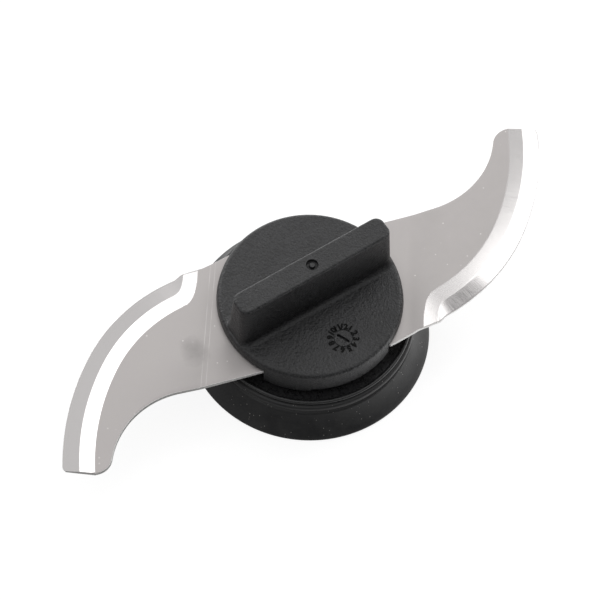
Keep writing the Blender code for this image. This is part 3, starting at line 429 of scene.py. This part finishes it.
def grip():
    """The bar as a stack of loops: the ring mark in its top, the flat top, a round edge, drafted walls and
    a fillet that ends inside the cap's plate."""
    angles = (np.arange(64) + 0.5) * TURN / 64
    floor_level = GRIP_TOP - GATE_DEPTH
    mark = softened([(0.0, GRIP_TOP - 0.06), (GATE_NUB, GRIP_TOP - 0.1), (GATE_NUB + 0.1, floor_level),
                     (GATE_RADIUS - 0.08, floor_level), (GATE_RADIUS, GRIP_TOP),
                     (GATE_RADIUS + 0.5, GRIP_TOP)], 0.08, 4)[1:]
    loops = [around(angles, radius, height, GRIP_ANGLE) for radius, height in mark]
    inwards, downwards = quarter(9)
    flat = GRIP_EDGE + 0.12
    levels = [(GRIP_HALF_LENGTH - flat, GRIP_HALF_WIDTH - flat, GRIP_TOP)]
    levels += [(GRIP_HALF_LENGTH - GRIP_EDGE * i, GRIP_HALF_WIDTH - GRIP_EDGE * i, GRIP_TOP - GRIP_EDGE * d)
               for i, d in zip(inwards, downwards)]
    foot = (GRIP_HALF_LENGTH + GRIP_DRAFT_END, GRIP_HALF_WIDTH + GRIP_DRAFT_SIDE)
    top = (GRIP_HALF_LENGTH, GRIP_HALF_WIDTH, GRIP_TOP - GRIP_EDGE)
    wall = (*foot, CAP_TOP + GRIP_FILLET_SIDE)
    levels += [tuple(top[i] + (wall[i] - top[i]) * share for i in range(3)) for share in (0.02, 0.98)]
    levels += [(foot[0] + GRIP_FILLET_END * d, foot[1] + GRIP_FILLET_SIDE * d, CAP_TOP + GRIP_FILLET_SIDE * i)
               for i, d in zip(inwards, downwards)]
    levels.append((foot[0] + GRIP_FILLET_END, foot[1] + GRIP_FILLET_SIDE, CAP_TOP - 0.8))
    for half_length, half_width, height in levels:
        loops.append(placed(*outline(half_length, half_width, GRIP_CORNER), height))
    return skin(loops)


def skirt_angles():
    """Angles round the cap with a close pair at each place where the skirt's foot steps, for each angle how
    low the skirt reaches, and the angles of the skirt's inside, which lean at the openings. The plate leaves
    through two openings, half a turn apart."""
    ear, back_outer, back_inner, gap, steps = 149.6, 243.72, 250.82, 0.05, 40
    step = math.degrees(SKIRT_STEP_ANGLE)
    low, high = SKIRT_BOTTOM - SKIRT_STEP, SKIRT_BOTTOM
    marks = [(ear - 180, CEILING), (back_outer - 180, low), (step - 180, high), (ear, CEILING),
             (back_outer, low), (step, high), (ear + 180, CEILING)]
    angles, feet, inner = [], [], []
    for (first, height), (last, _) in zip(marks[:-1], marks[1:]):
        run = np.linspace(first + gap, last - gap, steps)
        share = np.zeros(steps)
        if abs((last - back_outer) % 180) < 1e-6:
            share = np.linspace(0, 1, steps)
        elif abs((first - back_outer) % 180) < 1e-6:
            share = np.linspace(1, 0, steps)
        angles.append(run)
        feet.append(np.full(steps, height))
        inner.append(run + (back_inner - back_outer) * share ** 3)
    return np.radians(np.concatenate(angles)), np.concatenate(feet), np.radians(np.concatenate(inner))


def cap_body():
    """The round plate and its skirt as one stack of loops, from the arrow of the date mark outwards. Over
    the top the loops are circles whose centre slides from the date mark to the axis; on the skirt the
    height of the foot follows the angle, and the whole draft is used up at that height. The pockets and
    screw holes under the plate are left out."""
    angles, feet, inner = skirt_angles()

    def arrow(grow, height):
        """A superellipse of power 6: r = ((|cos| / a)^6 + (|sin| / b)^6)^(-1/6)."""
        half_length, half_width = ARROW_LENGTH / 2 + grow, ARROW_WIDTH / 2 + grow
        c, s = np.abs(direction(angles - ARROW_ANGLE)).T
        reach = ((c / half_length) ** 6 + (s / half_width) ** 6) ** (-1 / 6)
        return around(angles, reach, height, centre=DATE_CENTRE)

    loops = [arrow(grow, CAP_TOP - down) for grow, down in
             ((-0.2, ARROW_DEPTH), (-0.1, ARROW_DEPTH), (-0.04, 0.08), (0.0, 0.02), (0.06, 0.0))]
    groove_low, groove_end = CAP_TOP - DATE_DEPTH, DATE_RADIUS + DATE_GROOVE
    groove = softened([(DATE_RADIUS - 0.15, CAP_TOP), (DATE_RADIUS, CAP_TOP),
                       (DATE_RADIUS + 0.04, groove_low), (groove_end - 0.04, groove_low),
                       (groove_end, CAP_TOP), (groove_end + 0.2, CAP_TOP)], 0.05, 3)
    loops += [around(angles, radius, height, centre=DATE_CENTRE) for radius, height in groove]
    top_radius, plate_start = CAP_RADIUS - CAP_DRAFT, groove_end + 0.2
    plate_width = top_radius - CAP_EDGE - 0.15 - plate_start
    loops += [around(angles, plate_start + plate_width * t, CAP_TOP, centre=DATE_CENTRE * (1 - t))
              for t in np.linspace(0, 1, 10)[1:]]
    edge_level, foot_round = CAP_TOP - CAP_EDGE, 0.3
    wall_height = feet + foot_round - edge_level
    loops += [around(angles, top_radius - CAP_EDGE * i, CAP_TOP - CAP_EDGE * d) for i, d in zip(*quarter(11))]
    loops += [around(angles, top_radius + CAP_DRAFT * share, edge_level + wall_height * share)
              for share in (0.06, 0.5, 0.94)]
    loops += [around(angles, CAP_RADIUS - foot_round * d, feet + foot_round * i) for i, d in zip(*quarter(5))]
    loops.append(around(angles, CAP_RADIUS - 0.5, feet))
    ease = 0.1 * (feet < CEILING)
    loops += [around(inner, radius, height) for radius, height in
              ((SKIRT_INNER + 0.1, feet), (SKIRT_INNER, feet + ease), (SKIRT_INNER, CEILING - ease),
               (SKIRT_INNER - 0.1, CEILING), (POCKET_RADIUS, CEILING),
               (POCKET_RADIUS, CEILING + POCKET_DEPTH))]
    return skin(loops)


def date_numerals(material):
    """Small raised numerals round the date mark, 1 to 12, each turned to face outwards. Points of the
    letters' faces and sides that meet are made one."""
    made = []
    for number in range(1, 13):
        angle = math.pi / 2 - number * TURN / 12
        words = bpy.data.curves.new(f"date_numeral_{number}", 'FONT')
        words.body = str(number)
        words.size, words.extrude, words.offset = NUMERAL_SIZE * MM, NUMERAL_HALF * MM, NUMERAL_SWELL * MM
        words.align_x, words.align_y = 'CENTER', 'CENTER'
        words.resolution_u = 3
        holder = put(words.name, words)
        mesh = bpy.data.meshes.new_from_object(holder.evaluated_get(bpy.context.evaluated_depsgraph_get()))
        points = np.empty(len(mesh.vertices) * 3)
        mesh.vertices.foreach_get("co", points)
        points, place = np.unique(np.round(points.reshape(-1, 3) / MM, 5), axis=0, return_inverse=True)
        points = placed(points[:, 0], points[:, 1], points[:, 2] + CAP_TOP + NUMERAL_LIFT,
                        angle - math.pi / 2, DATE_CENTRE + NUMERAL_CIRCLE * direction(angle))
        made.append((points, [place.ravel()[list(face.vertices)].tolist() for face in mesh.polygons]))
        bpy.data.objects.remove(holder)
        bpy.data.curves.remove(words)
    return piece("date_numerals", joined(*made), [material], crease=40)


# The hub, the lip seal and what holds them. Their profiles are (radius, height).

def screw_centre(turn):
    """The middle of a screw: both stand under the bar, half a turn apart."""
    return SCREW_CIRCLE * direction(GRIP_ANGLE + turn)


def hub():
    """The moulded hub: one profile carried round Z, from the spigot over the dish and the rim to the
    barrel, then up inside it and round the boss; six ribs and two screw bosses stand in it. Known fault:
    the ribs' loops run clockwise, so the ribs' faces point inwards."""
    spigot, spigot_bore, spigot_top = 6.0, 4.0, 19.6
    barrel_inner, neck_inner, floor_under = BARREL_RADIUS - BARREL_WALL, NECK_RADIUS - 2.6, 14.0
    boss, bush, boss_bottom = 10.4, 8.3, 1.6
    outer = [(spigot_bore, spigot_top), (spigot, spigot_top), (spigot, HUB_TOP), (NECK_RADIUS, HUB_TOP),
             (NECK_RADIUS, DISH_FLOOR), (25.4, DISH_FLOOR - 0.2), (27.1, DISH_FLOOR)]
    bead = arc((RIM_RADIUS - RIM_BEAD, DISH_FLOOR), RIM_BEAD, math.radians(150), math.radians(-25), 14)
    under = [(RIM_RADIUS - 0.5, RIM_UNDERSIDE), (BARREL_RADIUS, RIM_UNDERSIDE), (BARREL_RADIUS, 3.9),
             (BARREL_RADIUS + 0.7, 3.6), (BARREL_RADIUS, BARREL_BOTTOM), (barrel_inner, BARREL_BOTTOM),
             (barrel_inner, RIM_UNDERSIDE - 1.2), (neck_inner, RIM_UNDERSIDE + 0.4),
             (neck_inner, floor_under), (boss, floor_under), (boss, boss_bottom), (bush, boss_bottom),
             (bush, floor_under), (spigot_bore, floor_under)]
    upper = softened(outer, [0.2, 0.2, 0.2, 0.4, 1.5], 8)
    lower = softened(under, 0.25, 4)
    shapes = [turned(np.vstack([upper, bead, lower]), 256)]

    low_wall, high_wall, inner = BARREL_RADIUS - 1.15, NECK_RADIUS - 1.3, (bush + boss) / 2
    rib_bottom, rib_step, rib_top, rib_half = 5.0, 10.45, 15.4, 0.8
    rib = np.array([(inner, rib_bottom), (low_wall, rib_bottom), (low_wall, rib_step),
                    (high_wall, rib_step), (high_wall, rib_top), (inner, rib_top)])
    for number in range(6):
        angle = GRIP_ANGLE + math.pi / 6 * (2 * number + 1)
        shapes.append(skin([placed(rib[:, 0], np.full(6, side), rib[:, 1], angle)
                            for side in (rib_half, -rib_half)]))

    post, bore_top = 4.4, 15.0
    screw_post = softened([(0.0, rib_top), (post, rib_top), (post, SCREW_BOSS_BOTTOM),
                           (SCREW_BORE, SCREW_BOSS_BOTTOM), (SCREW_BORE, bore_top), (0.0, bore_top)], 0.12, 4)
    for turn in (0.0, math.pi):
        shapes.append(turned(screw_post[1:-1], 64, centre=screw_centre(turn)))
    return joined(*shapes)


def lip_seal():
    """The rubber seal's cross-section carried round Z: a beaded collar, an undercut and a bell that hangs
    in a little on its way to the thin rim, with the inside of the bell hollow."""
    inner = BARREL_RADIUS + CLEARANCE
    bead_centre, bead_radii = (28.43, 9.45), np.array([0.77, 1.1])
    bead = arc(bead_centre, bead_radii, math.radians(85), math.radians(-75), 16)
    bell_radius, bell_top, reach, drop, sag = 29.1, 7.15, 4.45, 6.25, 0.25
    upper = [(inner, COLLAR_TOP), (27.77, COLLAR_TOP)]
    groove = softened([bead[-1], (27.65, 8.15), (27.6, 7.75), (28.5, 7.6), (bell_radius, bell_top),
                       (29.75, 6.1)], 0.3, 5)[1:-1]
    share = np.linspace(0.08, 0.96, 14)
    slope = np.stack([bell_radius + reach * share - sag * np.sin(share * math.pi),
                      bell_top - drop * share], -1)
    rim = softened([slope[-1], (33.72, 0.62), (33.8, 0.3), (33.65, 0.0), (32.75, 0.0), (32.35, 0.5),
                    (27.4, COLLAR_BOTTOM - 0.4), (26.9, COLLAR_BOTTOM), (inner, COLLAR_BOTTOM),
                    (inner, COLLAR_TOP)], 0.12, 4)[1:-1]
    return turned(np.vstack([upper, bead, groove, slope, rim]), 256, ends=False, ring=True)


def retaining_ring():
    """A flat ring under the seal's collar, a rounded rectangle carried round Z."""
    inner, outer, thickness = BARREL_RADIUS + CLEARANCE, 27.1, 2.1
    high = COLLAR_BOTTOM - CLEARANCE
    section = [(inner, high), (outer, high), (outer, high - thickness), (inner, high - thickness)]
    return turned(softened(section, 0.35, 5, closed=True), 192, ends=False, ring=True)


def drive_bush():
    """A steel bush: its outside is a turned profile, and its bore is a hexagon, r = h / cos(a) with the
    angle a taken from the middle of each flat."""
    low, high, radius, half, land, flare = 1.9, 13.7, 8.0, 5.0, 1.5, 0.35
    angles = np.arange(192) * TURN / 192
    hexagon = half / np.cos((angles + math.pi / 6) % (math.pi / 3) - math.pi / 6)
    side = softened([(radius - land, high), (radius, high), (radius, low), (radius - land, low)], 0.5, 6)
    bore = [(flare, low), (0.3, low + 0.02), (0.0, low + flare),
            (0.0, high - flare), (0.3, high - 0.02), (flare, high)]
    loops = [around(angles, reach, height) for reach, height in side]
    loops += [around(angles, hexagon + grow, height) for grow, height in bore]
    return skin(loops, ends=False, ring=True)


def screw(turn):
    """A pan-head screw: a turned shank and head, with a cross recess whose outline is the nearer of the
    arm's end and the arm's side at each angle."""
    tip, taper, seat, face = 29.7, 27.5, 7.6, 5.2
    shank, head, arm, arm_half = 2.0, 3.4, 1.9, 0.45
    angles = np.arange(96) * TURN / 96
    c, s = np.abs(direction(angles)).T
    cross = np.minimum(arm / np.maximum(c, s), arm_half / np.maximum(np.minimum(c, s), 1e-3))
    body = softened([(0.3, tip), (0.5, tip), (shank, taper), (shank, seat), (head, seat), (head, 6.2),
                     (2.9, 5.35), (2.2, face)], 0.15, 4)
    loops = [around(angles, radius, height, GRIP_ANGLE, screw_centre(turn)) for radius, height in body]
    loops += [around(angles, cross * share, height, GRIP_ANGLE, screw_centre(turn))
              for share, height in ((1.04, face), (1.0, 5.24), (0.9, 6.4), (0.6, 6.5))]
    return skin(loops)


def washer(turn):
    """A flat washer with round edges."""
    rim, high, low = 4.2, 8.7, 7.9
    section = softened([(SCREW_BORE, high), (rim, high), (rim, low), (SCREW_BORE, low)], 0.1, 4, closed=True)
    return turned(section, 96, ends=False, ring=True, centre=screw_centre(turn))


# Finishes. A value that goes into a node is a number, a vector, a colour or another node's socket.

def wire(tree, value, socket):
    """Links a socket to its source, or sets its number, vector or colour."""
    if isinstance(value, bpy.types.NodeSocket):
        tree.links.new(value, socket)
    else:
        socket.default_value = (*value, 1) if socket.type == 'RGBA' else value


def node(tree, kind, **values):
    """A new node: a value goes to the input of its name, or else it is a setting."""
    made = tree.nodes.new("ShaderNode" + kind)
    for key, value in values.items():
        if key in made.inputs:
            wire(tree, value, made.inputs[key])
        else:
            setattr(made, key, value)
    return made


def worked(tree, kind, operation, *values):
    """The number that a Math or VectorMath node works out."""
    made = node(tree, kind, operation=operation)
    for value, socket in zip(values, made.inputs):
        wire(tree, value, socket)
    return made.outputs["Value"]


def times(tree, first, second):
    return worked(tree, "Math", 'MULTIPLY', first, second)


def mixed(tree, factor, first, second, kind='RGBA'):
    """A colour, or a number, that goes from the first to the second as the factor goes from 0 to 1."""
    made = node(tree, "Mix", data_type=kind)
    for name, value in (("Factor", factor), ("A", first), ("B", second)):
        wire(tree, value, made.inputs[name])
    return made.outputs["Result"]


def spread(tree, source, low=0.0, high=1.0, start=0.35, end=0.65):
    """A number from low to high as the source goes from start to end."""
    made = node(tree, "MapRange", Value=source)
    for name, value in (("From Min", start), ("From Max", end), ("To Min", low), ("To Max", high)):
        wire(tree, value, made.inputs[name])
    return made.outputs["Result"]


def object_place(tree):
    return node(tree, "TexCoord").outputs["Object"]


def noise(tree, vector, scale, detail=3.0, rough=0.5, stretch=None):
    """A noise texture at so many waves a unit, with its vector multiplied by stretch if there is one."""
    if stretch:
        vector = node(tree, "Mapping", Vector=vector, Scale=stretch).outputs["Vector"]
    return node(tree, "TexNoise", Vector=vector, Scale=scale, Detail=detail, Roughness=rough).outputs["Fac"]


def specks(tree, place, scale, size, rare):
    """Small round specks: cells of which a slow noise lets only some through."""
    slow, soft = 300.0, 0.06
    cells = node(tree, "TexVoronoi", Vector=place, Scale=scale).outputs["Distance"]
    dots = spread(tree, cells, 1.0, 0.0, size * 0.6, size)
    return times(tree, dots, spread(tree, noise(tree, place, slow, 2.0), start=rare, end=rare + soft))


def coat(tree, shader, colour, roughness, metallic=0.0):
    """Gives the shader its colour, its roughness and how far it is a metal."""
    for name, value in (("Base Color", colour), ("Roughness", roughness), ("Metallic", metallic)):
        wire(tree, value, shader.inputs[name])


def bumped(tree, shader, *layers):
    """Bumps one on another: each layer is (height, distance in millimetres, strength)."""
    below = {}
    for height, distance, strength in layers:
        bump = node(tree, "Bump", Height=height, Distance=distance * MM, Strength=strength, **below)
        below = {"Normal": bump.outputs["Normal"]}
    wire(tree, below["Normal"], shader.inputs["Normal"])


def moulded(dark, light, low, high, grain, depth):
    """Moulded black plastic with a spark-eroded grain, which shows in its colour from dark to light, its
    roughness from low to high and its bumps, and faint clouds."""
    def build(tree, shader):
        place = object_place(tree)
        fine = noise(tree, place, grain, 2.0)
        coarse = noise(tree, place, grain * 0.5, 2.0)
        cloudy = worked(tree, "Math", 'MULTIPLY_ADD', noise(tree, place, 110.0), 0.35, fine)
        shade = mixed(tree, spread(tree, cloudy, start=0.5, end=0.85), dark, light)
        coat(tree, shader, shade, spread(tree, fine, low, high))
        bumped(tree, shader, (coarse, depth, 1.0), (fine, depth * 0.6, 1.0))
    return build


def date_black(tree, shader):
    """The date mark's numerals: painted shade, near black and barely reflecting, darker than the cap's own
    plastic; uneven gloss.
    """
    fine = noise(tree, object_place(tree), 1400.0, 2.0)
    shade = mixed(tree, spread(tree, fine), (0.0012, 0.0012, 0.0012), (0.004, 0.004, 0.004))
    coat(tree, shader, shade, spread(tree, fine, 0.2, 0.5))
    # Painted shade: the numerals barely reflect, so they stay darker than the cap.
    shader.inputs["Specular IOR Level"].default_value = 0.06
    bumped(tree, shader, (fine, 0.08, 1.0))


def dusty_rubber(tree, shader):
    """Matt black rubber with a thin film and specks of dust."""
    bare, film, dust = (0.006, 0.006, 0.007), (0.018, 0.018, 0.018), (0.34, 0.33, 0.31)
    place = object_place(tree)
    clouds = noise(tree, place, 260.0, 5.0, 0.6)
    shade = mixed(tree, spread(tree, clouds, start=0.4, end=0.75), bare, film)
    shade = mixed(tree, specks(tree, place, scale=950.0, size=0.15, rare=0.515), shade, dust)
    coat(tree, shader, shade, spread(tree, clouds, 0.40, 0.52))
    bumped(tree, shader, (noise(tree, place, 2600.0), 0.03, 0.8))


def steel(colour, low, high, along=None, brush=0.0):
    """Bare steel with fine lines along one direction and faint clouds; its roughness is low to high."""
    def build(tree, shader):
        place = object_place(tree)
        clouds = noise(tree, place, 90.0, 4.0, 0.55)
        fine = noise(tree, place, 1500.0, 3.0, 0.6)
        lines = noise(tree, place, 300.0, 2.0, stretch=along) if along else fine
        shade = mixed(tree, spread(tree, clouds), colour, tuple(c * 1.05 for c in colour))
        coat(tree, shader, shade, spread(tree, clouds, low, high), 1.0)
        bumped(tree, shader, (lines, 0.004, brush), (fine, 0.003, 0.4))
    return build


def rolled_steel(tree, shader):
    """The wings' rolled faces: rolling lines, light specks, and on the left wing the press's lines at the
    bend and a painted reflection: a dark patch beside the cap that stands for the cap's reflection."""
    place = object_place(tree)
    clouds = noise(tree, place, 90.0, 4.0, 0.6)
    fine = noise(tree, place, 1500.0, 3.0, 0.6)
    lines = noise(tree, place, 300.0, 2.0, stretch=(1.0, 0.06, 1.0))
    shade = mixed(tree, spread(tree, clouds), (0.392, 0.373, 0.366), (0.432, 0.410, 0.405))

    # Painted reflection: a dark, ragged patch on the left wing beside the cap stands in for the cap's
    # reflection.
    painted_reflection_centre, painted_reflection_colour, ragged = (-29.9 * MM, -17.6 * MM, 18.8 * MM), (0.25, 0.24, 0.235), 6.0 * MM
    away = worked(tree, "VectorMath", 'DISTANCE', place, painted_reflection_centre)
    away = worked(tree, "Math", 'MULTIPLY_ADD', noise(tree, place, 240.0, 4.0, 0.6), ragged, away)
    shade = mixed(tree, spread(tree, away, 0.8, 0.0, 2.6 * MM, 8.0 * MM), shade, painted_reflection_colour)

    pressed, half_width = (0.58, 0.56, 0.555), 0.09
    x = node(tree, "SeparateXYZ", Vector=place).outputs["X"]
    patchy = spread(tree, noise(tree, place, 160.0, 2.0), 0.1, 0.55, 0.4, 0.6)
    for at in (-26.3, -27.6):
        line = worked(tree, "Math", 'COMPARE', x, at * MM, half_width * MM)
        shade = mixed(tree, times(tree, line, patchy), shade, pressed)
    shade = mixed(tree, specks(tree, place, scale=420.0, size=0.10, rare=0.5), shade, (0.62, 0.60, 0.59))
    coat(tree, shader, shade, spread(tree, clouds, 0.50, 0.58), 1.0)
    bumped(tree, shader, (lines, 0.004, 0.6), (fine, 0.003, 0.4))


def ground_steel(tree, shader):
    """A ground facet: fine marks that run across it, coarser where the wheel lifts off, laid by the places
    along and inside the edge, in millimetres, that the blade's skin carries."""
    run = node(tree, "Attribute", attribute_name="run").outputs["Vector"]
    marks = noise(tree, run, 1.0, 2.0, 0.6, (7.0, 0.25, 1.0))
    along = node(tree, "SeparateXYZ", Vector=run).outputs["X"]
    coarse = spread(tree, along, 0.21, 0.105, 3.0, 15.0)
    coat(tree, shader, (0.505, 0.490, 0.486), times(tree, coarse, spread(tree, marks, 0.8, 1.25)), 1.0)
    bumped(tree, shader, (marks, 0.003, 0.5))


def sheared_steel(tree, shader):
    """The cut edge of the plate: pale and matt, with short upright lines."""
    lines = noise(tree, object_place(tree), 1400.0, 2.0, stretch=(1.0, 1.0, 0.2))
    shade = mixed(tree, spread(tree, lines), (0.76, 0.75, 0.74), (0.90, 0.89, 0.88))
    coat(tree, shader, shade, spread(tree, lines, 0.4, 0.55), 0.5)
    bumped(tree, shader, (lines, 0.003, 0.5))


def finish(name, build):
    """A material: build gets its node tree and its shader."""
    material = bpy.data.materials.new(name)
    material.use_nodes = True
    build(material.node_tree, material.node_tree.nodes["Principled BSDF"])
    return material


cap_black = finish("cap plastic", moulded(dark=(0.0035, 0.0035, 0.004), light=(0.031, 0.031, 0.033),
                                          low=0.38, high=0.58, grain=2100.0, depth=0.2))
numeral_shade_material = finish("date numerals painted shade", date_black)
hub_black = finish("hub plastic", moulded(dark=(0.011, 0.011, 0.012), light=(0.026, 0.026, 0.027),
                                          low=0.27, high=0.36, grain=1500.0, depth=0.015))
ring_black = finish("ring plastic", moulded(dark=(0.024, 0.024, 0.025), light=(0.042, 0.042, 0.043),
                                            low=0.4, high=0.5, grain=1500.0, depth=0.03))
rubber = finish("seal rubber", dusty_rubber)
rolled = finish("rolled steel", rolled_steel)
ground = finish("ground steel", ground_steel)
sheared = finish("sheared edge", sheared_steel)
turned_steel = finish("turned steel", steel((0.56, 0.55, 0.54), 0.26, 0.36, along=(0.2, 0.2, 6.0), brush=0.6))
plated = finish("plated screw", steel((0.60, 0.60, 0.60), 0.2, 0.3))

shape, slots, marks = blade()
wings = piece("cutting_wings", shape, [rolled, ground, sheared], "blade", 28, slots, marks)
cap = piece("grip_cap_moulding", joined(cap_body(), grip()), [cap_black], "grip_cap", 32)
numerals = date_numerals(numeral_shade_material)
hub_piece = piece("hub_moulding", hub(), [hub_black], "hub", 32)
seal = piece("rubber_lip_seal", lip_seal(), [rubber], "lip_seal", 40)
ring_piece = piece("seal_ring", retaining_ring(), [ring_black], "retaining_ring", 32)
bush_piece = piece("hexagon_bush", drive_bush(), [turned_steel], "drive_bush", 32)
for number, turn in ((1, 0.0), (2, math.pi)):
    piece(f"clamp_screw_{number}", screw(turn), [plated], f"screw_{number}", 32)
    piece(f"screw_washer_{number}", washer(turn), [plated], f"washer_{number}", 32)


# The studio.

def shown(tree, factor, first, second, out):
    """Mixes two shader nodes by a factor, into the output node."""
    made = node(tree, "MixShader")
    for value, socket in zip((factor, first.outputs[0], second.outputs[0]), made.inputs):
        wire(tree, value, socket)
    wire(tree, made.outputs[0], out.inputs["Surface"])


def pale_floor(tree, shader):
    """To the camera the floor is nearly white, with the object's soft shadow; in reflections it glows as
    painted light, at 1.8 on its back-right half and 0.1 towards the camera's side of the room, and to
    scattered light it is a plain pale surface."""
    tree.nodes.remove(shader)
    path = node(tree, "LightPath").outputs
    behind = worked(tree, "VectorMath", 'DOT_PRODUCT', object_place(tree), (0.7, 0.7, 0.0))
    # Painted light: in reflections the floor's back-right half glows at 1.8, brighter than white.
    reflected = spread(tree, behind, 0.1, 1.8, -0.05, 0.05)
    glow = node(tree, "Emission", Strength=mixed(tree, path["Is Glossy Ray"], 0.84, reflected, 'FLOAT'))
    seen = node(tree, "AddShader")
    wire(tree, node(tree, "BsdfDiffuse", Color=(0.3, 0.3, 0.3)).outputs[0], seen.inputs[0])
    wire(tree, glow.outputs[0], seen.inputs[1])
    pale = node(tree, "BsdfDiffuse", Color=(0.42, 0.42, 0.42))
    direct = worked(tree, "Math", 'MAXIMUM', path["Is Camera Ray"], path["Is Glossy Ray"])
    shown(tree, direct, pale, seen, tree.nodes["Material Output"])


def floor():
    """A square floor at z = 0."""
    far = 3.0
    mesh = bpy.data.meshes.new("studio_floor")
    mesh.from_pydata([(-far, -far, 0), (far, -far, 0), (far, far, 0), (-far, far, 0)], [], [(0, 1, 2, 3)])
    mesh.materials.append(finish("studio floor", pale_floor))
    put("studio_floor", mesh)


def studio():
    """A studio that is bright behind and over the object and dim on the camera's side: its strength
    follows the cosine of the angle to the brightest direction. In reflections it is a little fuller, with a
    small dark flag 12 degrees behind the zenith. What the camera sees of it is white."""
    brightest, flag_way, white = (-0.32, 0.47, 0.823), (0.0, 0.208, 0.978), (1, 1, 1)
    world = bpy.data.worlds.new("studio")
    bpy.context.scene.world = world
    world.use_nodes = True
    tree = world.node_tree
    tree.nodes.clear()
    place = node(tree, "TexCoord").outputs["Generated"]
    path = node(tree, "LightPath").outputs
    facing = worked(tree, "VectorMath", 'DOT_PRODUCT', place, brightest)
    flag = worked(tree, "VectorMath", 'DOT_PRODUCT', place, flag_way)
    scattered = spread(tree, facing, 0.02, 0.98, 0.05, 0.92)
    reflected = times(tree, spread(tree, facing, 0.04, 1.0, -0.3, 0.62),
                      spread(tree, flag, 1.0, 0.1, 0.9925, 0.997))
    strength = mixed(tree, path["Is Glossy Ray"], scattered, reflected, 'FLOAT')
    room = node(tree, "Background", Color=white, Strength=strength)
    backdrop = node(tree, "Background", Color=white, Strength=1.0)
    shown(tree, path["Is Camera Ray"], room, backdrop, node(tree, "OutputWorld"))


def stand(made, right, up, back, place):
    """Sets an object's three axes and its place."""
    rows = [list(map(float, row)) for row in zip(right, up, back, place)]
    made.matrix_world = mathutils.Matrix(rows + [[0, 0, 0, 1]])


def soft_box(name, lean, elevation, wide, tall, radiance, roll=0.0, distance=6.0):
    """A rectangular lamp that looks at the origin from a distance in metres, at an angle towards +X and a
    height above the horizon; wide and tall are the angles that it fills, and roll turns its top towards
    -X. Power is pi times area times radiance."""
    lean, elevation, roll = math.radians(lean), math.radians(elevation), math.radians(roll)
    way = np.array([math.sin(lean), *(math.cos(lean) * direction(elevation))])
    lamp = bpy.data.lights.new(name, 'AREA')
    lamp.shape = 'RECTANGLE'
    lamp.size = 2 * distance * math.tan(math.radians(wide / 2))
    lamp.size_y = 2 * distance * math.tan(math.radians(tall / 2))
    lamp.energy = math.pi * lamp.size * lamp.size_y * radiance
    across = np.cross([0.0, 0.0, 1.0], way)
    across /= np.linalg.norm(across)
    up = np.cross(way, across)
    c, s = math.cos(roll), math.sin(roll)
    stand(put(name, lamp), c * across - s * up, c * up + s * across, way, way * distance)


def camera():
    """The photograph's view: 62 degrees above the floor, a long lens, rolled by three degrees."""
    right, up = (0.99838475, 0.05021226, 0.02658248), (-0.0568146, 0.88236388, 0.46712535)
    back, place = (0.0, -0.4678811, 0.88379142), np.array([-2.69407, -273.47670, 534.11405]) * MM
    lens = bpy.data.cameras.new("camera")
    lens.lens, lens.sensor_width = 129.25, 36.0
    lens.clip_start, lens.clip_end = 0.05, 20.0
    made = put("camera", lens)
    stand(made, right, up, back, place)
    bpy.context.scene.camera = made


floor()
studio()
soft_box("back_soft_box", lean=7.5, elevation=62.6, wide=16.4, tall=20.0, radiance=2.1, roll=22.0,
         distance=1.9)
soft_box("left_rim_box", lean=-38.0, elevation=26.0, wide=32.0, tall=22.0, radiance=4.4)
soft_box("right_rim_box", lean=40.0, elevation=26.0, wide=26.0, tall=24.0, radiance=4.2)
camera()
bpy.context.scene.view_settings.view_transform = 'Standard'
